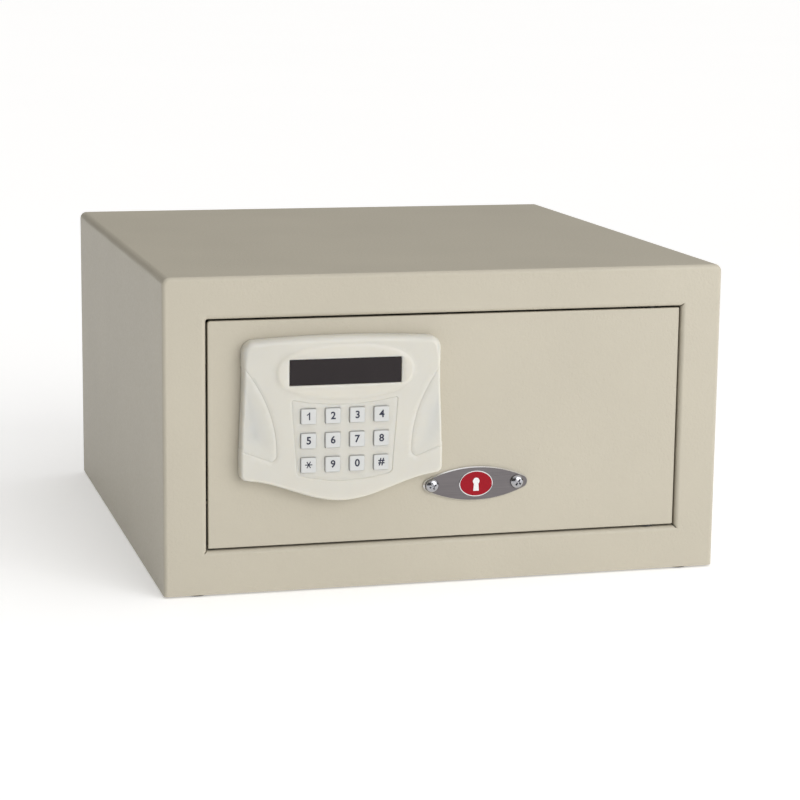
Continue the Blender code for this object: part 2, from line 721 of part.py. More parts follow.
def scallop_outline(side):
    """The finger grip sunk into one side of the housing: a curved triangle that runs off the edge."""
    edge, shift = HOUSING_W / 2 + 0.006, 0.0009
    bow = [(0.0493 + 0.0238 * (i / 8) ** 2.08, 0.036 + 0.064 * i / 8) for i in range(10)]
    corner = arc(0.0543, 0.0355, 0.0050, 262, 180, 4)
    outline = [(edge, 0.041), (edge, 0.109)] + list(reversed(bow)) + list(reversed(corner))
    return [(side * x + shift, z) for x, z in outline]


def panel_outline():
    """The sunk keypad panel: its top follows the window's oval, its sides taper down."""
    half_top, half_low, low, high = 0.0397, 0.0353, 0.0200, 0.0758
    dip, sag, shift = 0.0044, 0.0048, 0.0011
    top = [(x, high - dip * (1 - (x / half_top) ** 2)) for x in
           [half_top * (1 - i / 6) for i in range(13)]]
    foot = [(x, low - sag * (1 - (x / half_low) ** 2)) for x in
            [-half_low * (1 - i / 6) for i in range(13)]]
    return [(x + shift, z) for x, z in top + foot]


def oval(half_w, half_h, x, z, power=2.4, sides=48):
    """A superellipse about a point."""
    points = []
    for i in range(sides):
        a = 2 * math.pi * i / sides
        c, s = math.cos(a), math.sin(a)
        points.append((x + math.copysign(abs(c) ** (2 / power) * half_w, c),
                       z + math.copysign(abs(s) ** (2 / power) * half_h, s)))
    return points


def housing_screw_at(side):
    return Vector((HOUSING.x + 0.0015 + side * 0.0600, DOOR_FACE, HOUSING.z + 0.046))


def key_at(row, column):
    return Vector((KEYS_MID.x + (column - 1.5) * KEY_PITCH_X, Y_FRONT, KEYS_MID.z + (1 - row) * KEY_PITCH_Z))


def keypad_housing():
    """The moulded shell on the door, open behind, with its window, its key holes and two finger grips."""
    front = -HOUSING_T
    outline = housing_outline()

    def outside(bm):
        edge_r = 0.0035
        edge = [along_y(inset(outline, inward), front + depth) for depth, inward in rounding(edge_r, 3)]
        loft(bm, edge + [along_y(outline, -GAP)])

    def hollow(bm):
        prism(bm, inset(outline, HOUSING_WALL), front + HOUSING_WALL, 0.01)

    def bezel(bm):
        rings = [(0.0499, 0.0192, front - BEZEL_RISE), (0.0509, 0.0202, front + 0.0010)]
        x = WINDOW_X - HOUSING.x
        loft(bm, [along_y(oval(half_w, half_h, x, 0.0949), y) for half_w, half_h, y in rings])

    def window(bm):
        x, z = WINDOW_X - HOUSING.x, WINDOW_Z - HOUSING.z
        half_w, half_h = WINDOW_W / 2, WINDOW_H / 2
        block(bm, (x - half_w, -0.02, z - half_h), (x + half_w, 0, z + half_h))

    def key_holes(bm):
        for row in range(3):
            for column in range(4):
                hole = key_at(row, column) - HOUSING
                half = KEY_HOLE / 2
                block(bm, (hole.x - half, -0.02, hole.z - half), (hole.x + half, -0.003, hole.z + half))

    shell = new_object("keypad_housing", outside, HOUSING, "cream_plastic", True)
    join(shell, cutter("housing_bezel", bezel, HOUSING))
    cut(shell, cutter("housing_hollow", hollow, HOUSING))
    for side in (-1, 1):
        at = housing_screw_at(side)
        join(shell, cutter(f"housing_boss_{side}", lambda bm: turned(
            bm, [(front + HOUSING_WALL - 0.0005, 0.004), (-GAP, 0.004)], sides=16), at))
        bored(shell, f"housing_boss_hole_{side}", 0.0019, -0.0065, 0.01, at, sides=12)
        cut(shell, cutter(f"scallop_{side}", lambda bm: prism(
            bm, scallop_outline(side), -0.02, front + SCALLOP_SINK), HOUSING))
    sink = front + PANEL_SINK
    cut(shell, cutter("panel_sink", lambda bm: prism(bm, panel_outline(), -0.02, sink), HOUSING))
    cut(shell, cutter("window_opening", window, HOUSING), cutter("key_holes", key_holes, HOUSING))
    return shell


def display_window():
    """Smoked acrylic, held behind the housing's face by its rim."""
    front = -HOUSING_T - BEZEL_RISE + 0.0003
    ceiling = -HOUSING_T + HOUSING_WALL + GAP
    half_w, half_h = WINDOW_W / 2 - GAP, WINDOW_H / 2 - GAP
    at = (WINDOW_X, DOOR_FACE, WINDOW_Z)
    pane = new_object("display_window", lambda bm: block(
        bm, (-half_w, front, -half_h), (half_w, ceiling + 0.0006, half_h)), at, "smoked_window")
    rim = 0.003
    join(pane, cutter("window_rim", lambda bm: block(
        bm, (-half_w - rim, ceiling, -half_h - rim), (half_w + rim, ceiling + 0.0009, half_h + rim)), at))
    return pane


def display_module():
    depth = -HOUSING_T + HOUSING_WALL + 0.0015
    at = (WINDOW_X, DOOR_FACE, WINDOW_Z)
    return new_object("display_module", lambda bm: block(
        bm, (-0.042, depth, -0.0115), (0.042, -0.0043, 0.0115)), at, "black_plastic")


def keypad_board():
    """The main circuit board, in the housing on the door."""
    outline = rounded_rectangle(0.052, 0.016, 0.109, 0.003, 3)
    return new_object(
        "keypad_board", lambda bm: prism(bm, outline, -0.0040, -0.0024), HOUSING, "circuit_board")


def key_mat():
    """Silicone sheet with a contact pad under each key, at the height it has when its key is pressed."""
    base, top = -0.0043, -0.0059
    mid = KEYS_MID - HOUSING
    half_w, half_h = 2 * KEY_PITCH_X, 1.5 * KEY_PITCH_Z

    def sheet(bm):
        block(bm, (mid.x - half_w, base - 0.0008, mid.z - half_h), (mid.x + half_w, base, mid.z + half_h))

    def pads(bm):
        for row in range(3):
            for column in range(4):
                spot = key_at(row, column) - HOUSING
                prism(bm, circle(0.0032, 12, spot.x, spot.z), top, base - 0.0004)

    mat = new_object("key_mat", sheet, HOUSING, "grey_rubber")
    join(mat, cutter("mat_pads", pads, HOUSING))
    return mat


def keys():
    """Twelve caps, each with a flange behind the panel that keeps it in."""
    made = []
    ceiling = DOOR_FACE - HOUSING_T + HOUSING_WALL - Y_FRONT
    for row, names in enumerate(KEY_NAMES):
        for column, label in enumerate(names):
            half = KEY_HOLE / 2 - RUNNING

            def cap(bm):
                face, flange = half - 0.0006, KEY_HOLE / 2 + 0.0007
                steps = [(-PROUD, face - 0.0003), (-PROUD + 0.0003, face), (ceiling - 0.0008, half),
                         (ceiling + GAP, half), (ceiling + GAP, flange), (ceiling + 0.0013, flange)]
                loft(bm, [along_y([(-h, -h), (h, -h), (h, h), (-h, h)], y) for y, h in steps])

            made.append(new_object(f"key_{label}", cap, key_at(row, column), "key_plastic"))
    return made


def housing_screws():
    shape = screw_shape(0.0034, 0.0022, 0.0016, 0.0105, backwards=True)
    made = []
    for name, side in (("housing_screw_left", -1), ("housing_screw_right", 1)):
        at = housing_screw_at(side) + Vector((0, DOOR_T + GAP, 0))
        made.append(new_object(name, shape, at, "zinc_steel", True))
    return made


def ribbon_cable():
    """Flat cable from the board through the door and down to the motor."""
    half_w, thickness, bend = 0.006, 0.0009, 0.004
    start, turn, end = DOOR_FACE - 0.0021, DOOR_BACK + 0.009, PINION_Z + 0.012 + GAP
    height = CABLE.z
    outer = [(start, height)] + arc(turn - bend, height - bend, bend, 90, 0, 5) + [(turn, end)]
    inner = [(turn - thickness, end)] + arc(turn - bend, height - bend, bend - thickness, 0, 90, 5)
    section = outer + inner + [(start, height - thickness)]
    return new_object("ribbon_cable", lambda bm: loft(
        bm, [[Vector((CABLE.x + x, y, z)) for y, z in section] for x in (-half_w, half_w)]),
        look="black_plastic")


# --- Inner cover and batteries --------------------------------------------------------------------


def cover_screw_points():
    """The four screws through the cover's flange."""
    inward = COVER_FLANGE / 2
    return [(f"cover_screw_{row}_{side}", Vector((x, DOOR_BACK, z)))
            for row, z in (("lower", COVER_Z[0] + 0.016), ("upper", COVER_Z[1] - 0.016))
            for side, x in (("left", COVER_X[0] - inward), ("right", COVER_X[1] + inward))]


def inner_cover():
    """Pressed tray over the bolt work, with an opening and rails for the battery hatch."""
    near = DOOR_BACK + GAP
    (left, right), (low, high) = COVER_X, COVER_Z
    lip, t = COVER_FLANGE, COVER_T

    def flange(bm):
        block(bm, (left - lip, near, low - 0.004), (right + lip, near + t, high + 0.004))

    def box(bm):
        mid = (left + right) / 2
        edge_r = 0.003
        outline = [(x + mid, z) for x, z in rounded_rectangle((right - left) / 2, low, high, 0.004, 3)]
        rear = [along_y(inset(outline, inward), COVER_REAR - depth) for depth, inward in rounding(edge_r, 2)]
        loft(bm, [along_y(outline, near)] + list(reversed(rear)))

    def hollow(bm):
        block(bm, (left + t, near - 0.01, low + t), (right - t, COVER_REAR - t, high - t))

    def battery_opening(bm):
        block(bm, (HOLDER_X[0] + 0.002, COVER_REAR - 0.01, HOLDER_Z[0] + 0.002),
              (HOLDER_X[1] - 0.002, COVER_REAR + 0.01, HOLDER_Z[1] - 0.002))

    tray = new_object("inner_cover", flange, look="powder_coat", smooth=True)
    join(tray, cutter("cover_box", box))
    cut(tray, cutter("cover_hollow", hollow), cutter("battery_opening", battery_opening))
    for i, z in enumerate(BOLT_Z):
        bored(tray, f"cover_bolt_hole_{i}", BOLT_R + 0.0006, -0.01, 0.01, (left, BOLT_Y, z), "X")
    for name, at in cover_screw_points():
        bored(tray, name + "_hole", 0.0021, -0.01, 0.01, at, sides=12)
    for name, edge, way in (("lower_rail", HOLDER_Z[0], -1), ("upper_rail", HOLDER_Z[1], 1)):
        join(tray, cutter(name, lambda bm: rail(bm, edge, way)))
    return tray


def rail(bm, edge, way):
    """One of two hooked rails that the battery hatch slides between."""
    start = edge + way * (HATCH_RAIL + GAP)
    stem, hook = 0.0016, HATCH_RAIL - 0.001
    rise = HATCH_T + 2 * GAP
    root, under = COVER_REAR - 0.0006, COVER_REAR + rise
    tip, outside = start - way * hook, start + way * stem
    section = [(root, start), (under, start), (under, tip), (under + 0.001, tip), (under + 0.001, outside),
               (root, outside)]
    loft(bm, [[Vector((x, y, z)) for y, z in section] for x in (HOLDER_X[0] - 0.060, HOLDER_X[1] + 0.0005)])


def battery_hatch():
    """Sliding plate over the batteries, with a ribbed thumb grip."""
    low = (HOLDER_X[0] - 0.002, COVER_REAR + GAP, HOLDER_Z[0] - HATCH_RAIL)
    high = (HOLDER_X[1], COVER_REAR + GAP + HATCH_T, HOLDER_Z[1] + HATCH_RAIL)
    plate = new_object("battery_hatch", lambda bm: block(bm, low, high), look="black_plastic")

    def ribs(bm):
        mid = sum(HOLDER_Z) / 2
        for i in range(4):
            x = low[0] + 0.008 + 0.003 * i
            block(bm, (x, high[1] - 0.0005, mid - 0.009), (x + 0.0012, high[1] + 0.0008, mid + 0.009))

    join(plate, cutter("hatch_ribs", ribs))
    return plate


def battery_holder():
    """Open tray for four cells side by side."""
    low = (HOLDER_X[0], COVER_REAR - COVER_T - GAP - 0.0168, HOLDER_Z[0])
    high = (HOLDER_X[1], COVER_REAR - COVER_T - GAP, HOLDER_Z[1])
    tray = new_object("battery_holder", lambda bm: block(bm, low, high), look="black_plastic")
    wall = 0.0015
    inner_low = (low[0] + wall, low[1] + wall, low[2] + wall)
    inner_high = (high[0] - wall, high[1] + 0.01, high[2] - wall)
    cut(tray, cutter("holder_pocket", lambda bm: block(bm, inner_low, inner_high)))
    return tray


def batteries():
    """Four cells of the usual 14.5 by 50.5 mm size, each turned the other way up from the last."""
    pitch = (HOLDER_X[1] - HOLDER_X[0] - 0.003) / 4
    y = COVER_REAR - COVER_T - GAP - 0.0168 + 0.0015 + GAP + CELL_R
    made = []
    for i in range(4):
        x = HOLDER_X[0] + 0.0015 + pitch * (i + 0.5)
        cell = new_object(f"battery_{i + 1}", lambda bm: turned(bm, [
            (-CELL_L / 2, CELL_R - 0.0008), (-CELL_L / 2 + 0.0008, CELL_R), (CELL_L / 2 - 0.0008, CELL_R),
            (CELL_L / 2, CELL_R - 0.0008), (CELL_L / 2, 0.0026), (CELL_L / 2 + 0.0014, 0.0026)], "Z", 20),
            (x, y, sum(HOLDER_Z) / 2), "battery_wrap", True)
        if i % 2:
            cell.rotation_euler.x = math.pi
        made.append(cell)
    return made


def cover_screws():
    shape = screw_shape(0.0034, 0.0022, 0.0016, COVER_T + 0.0028, backwards=True)
    rest = Vector((0, COVER_T + 2 * GAP, 0))
    return [new_object(name, shape, at + rest, "zinc_steel", True) for name, at in cover_screw_points()]


# --- Assembly -------------------------------------------------------------------------------------


def main():
    clear_scene()
    body_shell()
    floor_panel()
    back_panel()
    floor_mat()
    feet()
    hinge_bushes()

    door = pivot("door_axis", PIVOT)
    carry(door, door_plate(), hinge_pivot("upper_hinge_pivot", 1), hinge_pivot("lower_hinge_pivot", -1))
    carry(door, *badge(), lock_barrel(), lock_nut())
    carry(door, bolt_guide(), *carriage_posts(), gear_motor())
    carry(door, keypad_housing(), display_window(), display_module(), keypad_board(), key_mat())
    carry(door, *housing_screws(), ribbon_cable(), *keys())
    carry(door, inner_cover(), *cover_screws(), battery_holder(), *batteries())

    carry(pivot("lock_axis", LOCK, door), *lock_plug())
    carry(pivot("bolt_line", (BOLT_TIP_X, BOLT_Y, ARM_Z), door), bolt_carriage(), *bolts())
    carry(pivot("pinion_axis", (PINION_X, BOLT_Y, PINION_Z), door), drive_pinion())
    carry(pivot("hatch_line", (HOLDER_X[0], COVER_REAR, HOLDER_Z[0]), door), battery_hatch())


main()
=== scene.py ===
"""In-room safe for a hotel wardrobe: the finished look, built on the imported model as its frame.

Everything is in metres in the model's own frame: +Z is up and the door faces -Y. A piece's object
sits at the origin with its place in its mesh, as the frame's own nodes do.
"""

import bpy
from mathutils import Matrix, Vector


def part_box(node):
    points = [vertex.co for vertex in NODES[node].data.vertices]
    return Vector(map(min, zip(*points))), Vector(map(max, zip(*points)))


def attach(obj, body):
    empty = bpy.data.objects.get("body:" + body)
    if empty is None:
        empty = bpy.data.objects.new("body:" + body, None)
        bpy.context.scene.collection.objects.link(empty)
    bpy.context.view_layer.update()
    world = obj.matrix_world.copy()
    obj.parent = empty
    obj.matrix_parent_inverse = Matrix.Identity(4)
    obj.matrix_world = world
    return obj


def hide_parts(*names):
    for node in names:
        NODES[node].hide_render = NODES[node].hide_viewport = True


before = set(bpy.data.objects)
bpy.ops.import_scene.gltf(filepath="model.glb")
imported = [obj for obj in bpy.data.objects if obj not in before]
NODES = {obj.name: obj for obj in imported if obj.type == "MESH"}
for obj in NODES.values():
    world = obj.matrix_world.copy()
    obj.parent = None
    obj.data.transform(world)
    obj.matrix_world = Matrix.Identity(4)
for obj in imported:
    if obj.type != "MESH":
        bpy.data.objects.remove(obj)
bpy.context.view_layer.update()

import math

import bmesh
import bpy
import numpy as np
from mathutils import Matrix, Vector, geometry, noise

MM = 0.001
KEY_NAMES = ("1", "2", "3", "4", "5", "6", "7", "8", "star", "9", "0", "hash")

SHELL_LOW, SHELL_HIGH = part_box("body_shell")
DOOR_LOW, DOOR_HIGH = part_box("door_plate")
FRONT = SHELL_LOW.y
GROUND_GAP = SHELL_LOW.z
DOOR_FACE, DOOR_BACK = DOOR_LOW.y, DOOR_HIGH.y

# The body's sheet metal, as the CAD has it.
SHEET = 2.0 * MM
DOOR_GAP = 1.5 * MM
LIP_DEPTH = 18.0 * MM
OPEN_LEFT, OPEN_RIGHT = DOOR_LOW.x - DOOR_GAP, DOOR_HIGH.x + DOOR_GAP
OPEN_LOW, OPEN_HIGH = DOOR_LOW.z - DOOR_GAP, DOOR_HIGH.z + DOOR_GAP

SIDES = ("left", "right")
COVER_SCREWS = [f"cover_screw_{row}_{side}" for row in ("lower", "upper") for side in SIDES]

# The holes for the anchors in the wall and the shelf, and how far the weld marks are from an edge.
ANCHOR_X, WALL_ANCHOR_Z, SHELF_ANCHOR_Y, ANCHOR_R = 130 * MM, 150 * MM, 60 * MM, 6.0 * MM
WELD_IN = 9 * MM

# How far a cutter runs past what it cuts.
OVER = 10 * MM

# --- Outlines and lofts ---


def arc(x, z, radius, start, end, steps):
    """Points of an arc in degrees, both ends included."""
    angles = [math.radians(start + (end - start) * i / steps) for i in range(steps + 1)]
    return [(x + radius * math.cos(a), z + radius * math.sin(a)) for a in angles]


def circle(radius, sides, x=0.0, z=0.0):
    return arc(x, z, radius, 0, 360 - 360 / sides, sides - 1)


def rounded(low_x, low_z, high_x, high_z, radius, steps=6, upper_left=None):
    """A rectangle with round corners, anticlockwise from its upper right. upper_left is (radius, steps)."""
    other, other_steps = upper_left or (radius, steps)
    return (arc(high_x - radius, high_z - radius, radius, 0, 90, steps)
            + arc(low_x + other, high_z - other, other, 90, 180, other_steps)
            + arc(low_x + radius, low_z + radius, radius, 180, 270, steps)
            + arc(high_x - radius, low_z + radius, radius, 270, 360, steps))


def square(at, half, radius, steps=5):
    """A square about a point in the x-z plane, with round corners."""
    return rounded(at.x - half, at.z - half, at.x + half, at.z + half, radius, steps)


def inset(outline, distance):
    """The anticlockwise outline moved inwards along its corners' mean normals."""
    loop = np.array(outline, float)
    before = loop - np.roll(loop, 1, axis=0)
    after = np.roll(loop, -1, axis=0) - loop
    before /= np.linalg.norm(before, axis=1)[:, None]
    after /= np.linalg.norm(after, axis=1)[:, None]
    ahead = before + after
    length = np.linalg.norm(ahead, axis=1)[:, None]
    normal = np.stack((-ahead[:, 1], ahead[:, 0]), axis=1) / length
    return [tuple(p) for p in loop + normal * distance * np.minimum(2 / length, 1.5)]


def fillet(radius, steps=6):
    """(depth, inset) pairs of a quarter round, from the face to the side."""
    angles = [math.pi / 2 * (1 - i / steps) for i in range(steps + 1)]
    return [(radius * (1 - math.sin(a)), radius * (1 - math.cos(a))) for a in angles]


def spun(outline, turn, x=0.0, z=0.0):
    """The outline turned about its own origin, then moved."""
    c, s = math.cos(turn), math.sin(turn)
    return [(x + a * c - b * s, z + a * s + b * c) for a, b in outline]


def stand(outline, y):
    """(x, z) points stood up at the depth y."""
    return [Vector((x, y, z)) for x, z in outline]


def loft(bm, loops, caps=(True, True)):
    """A skin through loops of equal length, with its ends closed."""
    rings = [[bm.verts.new(point) for point in loop] for loop in loops]
    count = len(rings[0])
    for low, high in zip(rings, rings[1:]):
        for i in range(count):
            bm.faces.new((low[i], low[(i + 1) % count], high[(i + 1) % count], high[i]))
    if caps[0]:
        bm.faces.new(list(reversed(rings[0])))
    if caps[1]:
        bm.faces.new(rings[-1])
    return rings


def layers(outline, face, *steps):
    """The outline at (inward, depth) pairs in millimetres. The depth counts from the face."""
    return [stand(inset(outline, inward * MM), face + depth * MM) for inward, depth in steps]


def prism(bm, outline, low, high):
    loft(bm, [stand(outline, low), stand(outline, high)])


def block(bm, low, high, bevel=0.0, segments=2):
    """A box between two corners, with its edges rounded."""
    made = bmesh.ops.create_cube(bm, size=1.0)["verts"]
    size = Vector(high) - Vector(low)
    middle = (Vector(high) + Vector(low)) / 2
    for vert in made:
        vert.co = Vector((vert.co.x * size.x, vert.co.y * size.y, vert.co.z * size.z)) + middle
    if bevel:
        edges = list({edge for vert in made for edge in vert.link_edges})
        bmesh.ops.bevel(bm, geom=edges, offset=bevel, segments=segments, profile=0.5, affect="EDGES")


TURNS = {"X": Matrix.Rotation(-math.pi / 2, 3, "Z"), "Y": Matrix.Identity(3),
         "Z": Matrix.Rotation(math.pi / 2, 3, "X")}


def turned(bm, at, steps, axis="Y", sides=48):
    """A turned piece from (distance along the axis, radius) pairs. A radius of 0 closes to a point."""
    swing, at = TURNS[axis], Vector(at)
    rings = []
    for far, radius in steps:
        radius = max(radius, 1e-6)
        rings.append([at + swing @ point for point in stand(circle(radius, sides), far)])
    loft(bm, rings)


# --- Objects ---


def mesh_of(name, build):
    bm = bmesh.new()
    build(bm)
    bmesh.ops.recalc_face_normals(bm, faces=bm.faces)
    made = bpy.data.meshes.new(name)
    bm.to_mesh(made)
    bm.free()
    return made


def carved(name, build, *steps):
    """A mesh with other shapes joined to it ("+") or cut from it ("-"), in order."""
    scene = bpy.context.scene.collection
    base = bpy.data.objects.new(name, mesh_of(name, build))
    scene.objects.link(base)
    helpers = [base]
    for sign, shape in steps:
        helper = bpy.data.objects.new(name + "_tool", mesh_of(name + "_tool", shape))
        scene.objects.link(helper)
        helpers.append(helper)
        modifier = base.modifiers.new("carve", "BOOLEAN")
        modifier.operation = {"+": "UNION", "-": "DIFFERENCE"}[sign]
        modifier.solver = "EXACT"
        modifier.object = helper
    final = bpy.data.meshes.new_from_object(base.evaluated_get(bpy.context.evaluated_depsgraph_get()))
    final.name = name
    for helper in helpers:
        bpy.data.objects.remove(helper)
    return final


def hole(radius, at, low, high, axis="Y", sides=32):
    """A cutter for a round hole through a point, from low to high along the axis."""
    return "-", lambda bm: turned(bm, at, [(low, radius), (high, radius)], axis, sides)


def piece(name, shape, body, looks, stands_for=(), angle=35, weighted=True, steps=()):
    """A finished piece that rides on a CAD body. shape is a mesh, or a function that builds one."""
    if isinstance(shape, bpy.types.Mesh):
        mesh = shape
    else:
        mesh = carved(name, shape, *steps) if steps else mesh_of(name, shape)
    made = bpy.data.objects.new(name, mesh)
    bpy.context.scene.collection.objects.link(made)
    if angle:
        mesh.shade_smooth()
        mesh.set_sharp_from_angle(angle=math.radians(angle))
    mesh.materials.clear()
    for look in looks if isinstance(looks, (list, tuple)) else [looks]:
        mesh.materials.append(look)
    if weighted:
        modifier = made.modifiers.new("flat faces stay flat", "WEIGHTED_NORMAL")
        modifier.keep_sharp = True
    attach(made, body)
    if stands_for:
        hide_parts(*stands_for)
    return made


def centre(node):
    low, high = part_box(node)
    return (low + high) / 2


def drilled(node, radius, y, low=-OVER, sides=16):
    """A cutter for a hole in a sheet, where a CAD node is when seen from the front."""
    return hole(radius, (centre(node).x, y, centre(node).z), low, OVER, sides=sides)


# --- Materials ---


class Look:
    """A procedural material, built from a few kinds of node."""

    def __init__(self, name, roughness=0.5, metallic=0.0, **settings):
        self.material = bpy.data.materials.new(name)
        self.material.use_nodes = True
        self.tree = self.material.node_tree
        self.shader = self.tree.nodes["Principled BSDF"]
        self.set(self.shader, "Roughness", roughness)
        self.set(self.shader, "Metallic", metallic)
        for socket, value in settings.items():
            self.set(self.shader, socket.replace("_", " "), value)
        self.place = self.node("ShaderNodeTexCoord").outputs["Object"]
        self.normal = None

    def node(self, kind, **settings):
        made = self.tree.nodes.new(kind)
        for key, value in settings.items():
            setattr(made, key, value)
        return made

    def set(self, node, socket, value):
        if isinstance(value, bpy.types.NodeSocket):
            self.tree.links.new(value, node.inputs[socket])
        else:
            node.inputs[socket].default_value = value

    def stretched(self, x, y, z):
        node = self.node("ShaderNodeVectorMath", operation="MULTIPLY")
        self.set(node, 0, self.place)
        self.set(node, 1, (x, y, z))
        return node.outputs[0]

    def noise(self, scale, detail=2.0, roughness=0.5, place=None):
        node = self.node("ShaderNodeTexNoise")
        self.set(node, "Vector", place or self.place)
        self.set(node, "Scale", scale)
        self.set(node, "Detail", detail)
        self.set(node, "Roughness", roughness)
        return node.outputs["Fac"]

    def cells(self, scale, feature, place=None):
        node = self.node("ShaderNodeTexVoronoi", feature=feature)
        self.set(node, "Vector", place or self.place)
        self.set(node, "Scale", scale)
        return node.outputs["Distance"]

    def remap(self, value, to_low, to_high, low=0.3, high=0.7):
        node = self.node("ShaderNodeMapRange")
        for socket, number in zip(("Value", "From Min", "From Max", "To Min", "To Max"),
                                  (value, low, high, to_low, to_high)):
            self.set(node, socket, number)
        return node.outputs[0]

    def maths(self, operation, a, b=0.0):
        node = self.node("ShaderNodeMath", operation=operation)
        self.set(node, 0, a)
        self.set(node, 1, b)
        return node.outputs[0]

    def colour(self, share, first, second):
        """From the first colour to the second, as the share goes from 0 to 1."""
        node = self.node("ShaderNodeMix", data_type="RGBA")
        self.set(node, 0, share)
        self.set(node, 6, (*first, 1))
        self.set(node, 7, (*second, 1))
        self.set(self.shader, "Base Color", node.outputs[2])

    def tint(self, share, colour, dark, light):
        """One colour, made darker to lighter by factors."""
        self.colour(share, shade(colour, dark), shade(colour, light))

    def rough(self, value, low, high):
        self.set(self.shader, "Roughness", self.remap(value, low, high))

    def bump(self, height, depth):
        """Adds a relief of a depth in millimetres."""
        node = self.node("ShaderNodeBump")
        self.set(node, "Height", height)
        self.set(node, "Distance", depth * MM)
        self.set(node, "Strength", 1.0)
        if self.normal:
            self.set(node, "Normal", self.normal)
        self.normal = node.outputs["Normal"]
        self.set(self.shader, "Normal", self.normal)


def shade(colour, factor):
    return tuple(min(1.0, c * factor) for c in colour)


def powder_coat(name, colour):
    """Baked powder paint: a fine orange peel, slightly uneven in gloss."""
    look = Look(name, Specular_IOR_Level=0.42)
    cloud = look.noise(9.0, 3.0)
    speck = look.noise(2600.0, 1.0)
    uneven = look.maths("ADD", look.remap(cloud, 0.0, 0.6), look.remap(speck, 0.0, 0.4))
    look.tint(uneven, colour, 0.955, 1.035)
    peel = look.noise(540.0, 2.0, 0.55)
    look.rough(peel, 0.40, 0.54)
    look.bump(peel, 0.24)
    look.bump(look.noise(2300.0, 1.0), 0.018)
    return look.material


def moulded(name, colour, roughness=0.38, grain=0.010, cloudiness=0.02, **settings):
    """Moulded plastic with the fine spark-eroded grain of its tool."""
    look = Look(name, **settings)
    cloud = look.remap(look.noise(14.0, 2.0), 0.0, 1.0)
    look.tint(cloud, colour, 1 - cloudiness, 1 + cloudiness)
    look.rough(look.noise(45.0, 4.0, 0.6), roughness - 0.05, roughness + 0.06)
    look.bump(look.noise(2600.0, 2.0), grain)
    return look.material


def polished(name, colour, roughness=0.12):
    """Plated metal with faint smears."""
    look = Look(name, metallic=1.0)
    smear = look.noise(160.0, 4.0, 0.65)
    look.rough(smear, roughness * 0.7, roughness * 1.5)
    look.tint(look.remap(smear, 0.0, 1.0, 0.2, 0.8), colour, 0.96, 1.03)
    return look.material


def brushed(name, colour, along=(12.0, 900.0, 2600.0), roughness=0.34, relief=0.006):
    """Metal brushed along its length, which is the axis with the low number."""
    look = Look(name, metallic=1.0)
    streak = look.noise(1.0, 4.0, 0.6, look.stretched(*along))
    cloud = look.noise(22.0, 2.0)
    look.tint(look.remap(streak, 0.0, 1.0), colour, 0.86, 1.10)
    gloss = look.maths("ADD", look.remap(streak, roughness - 0.07, roughness + 0.07),
                       look.remap(cloud, -0.03, 0.03))
    look.set(look.shader, "Roughness", gloss)
    look.bump(streak, relief)
    return look.material


def zinc(name, colour=(0.56, 0.57, 0.58)):
    """Dull zinc plate with its cloudy crystals."""
    look = Look(name, metallic=1.0)
    spangle = look.cells(260.0, "SMOOTH_F1")
    cloud = look.noise(90.0, 4.0, 0.6)
    look.tint(look.maths("MULTIPLY", look.remap(spangle, 0.0, 1.0, 0.1, 0.8), cloud), colour, 0.86, 1.12)
    look.rough(cloud, 0.30, 0.46)
    look.bump(cloud, 0.010)
    return look.material


def rubber(name, colour, roughness=0.8):
    look = Look(name, Specular_IOR_Level=0.3)
    dust = look.remap(look.noise(420.0, 3.0, 0.6), 0.0, 0.35, 0.45, 0.75)
    look.colour(dust, colour, shade([c + 0.05 for c in colour], 1.4))
    look.rough(look.noise(800.0, 2.0), roughness - 0.08, roughness + 0.08)
    look.bump(look.noise(1700.0, 2.0), 0.03)
    return look.material


def felt(name, colour):
    """Needle-punched felt: crossing fibres, a soft nap and stray pale hairs."""
    look = Look(name, roughness=0.95, Sheen_Weight=0.5, Sheen_Roughness=0.5, Specular_IOR_Level=0.15)
    one = look.noise(1.0, 4.0, 0.7, look.stretched(1500.0, 260.0, 800.0))
    other = look.noise(1.0, 4.0, 0.7, look.stretched(260.0, 1500.0, 800.0))
    fibres = look.maths("MAXIMUM", one, other)
    cloud = look.noise(35.0, 3.0)
    pale = look.maths("MULTIPLY", look.remap(fibres, 0.0, 1.0, 0.45, 0.75), look.remap(cloud, 0.6, 1.0))
    look.tint(pale, colour, 0.6, 2.1)
    look.bump(fibres, 0.35)
    return look.material


def circuit(name):
    """Green solder mask with the faint squares of buried tracks."""
    look = Look(name, roughness=0.4)
    tracks = look.cells(330.0, "DISTANCE_TO_EDGE", look.stretched(1.0, 0.0, 1.0))
    line = look.remap(tracks, 1.0, 0.0, 0.04, 0.07)
    look.colour(line, (0.015, 0.115, 0.045), (0.05, 0.24, 0.10))
    look.bump(line, 0.03)
    return look.material


def smoked(name):
    """Smoked acrylic, with the display dark behind it."""
    look = Look(name, roughness=0.09, Specular_IOR_Level=0.27)
    look.colour(look.noise(60.0, 3.0), (0.012, 0.008, 0.009), (0.017, 0.012, 0.013))
    look.rough(look.noise(240.0, 4.0, 0.6), 0.06, 0.13)
    return look.material


def cell_wrap(name, low, high):
    """A cell's printed film: two plain bands, with no lettering."""
    look = Look(name, metallic=0.25)
    axis = look.node("ShaderNodeSeparateXYZ")
    look.set(axis, 0, look.place)
    band = look.remap(axis.outputs[2], 0.0, 1.0, low + (high - low) * 0.70, low + (high - low) * 0.705)
    look.colour(band, (0.020, 0.022, 0.028), (0.52, 0.30, 0.12))
    look.rough(look.noise(500.0, 2.0), 0.24, 0.34)
    look.bump(look.noise(180.0, 2.0), 0.02)
    return look.material


CREAM = (0.643, 0.617, 0.550)
BEIGE = (0.490, 0.452, 0.366)

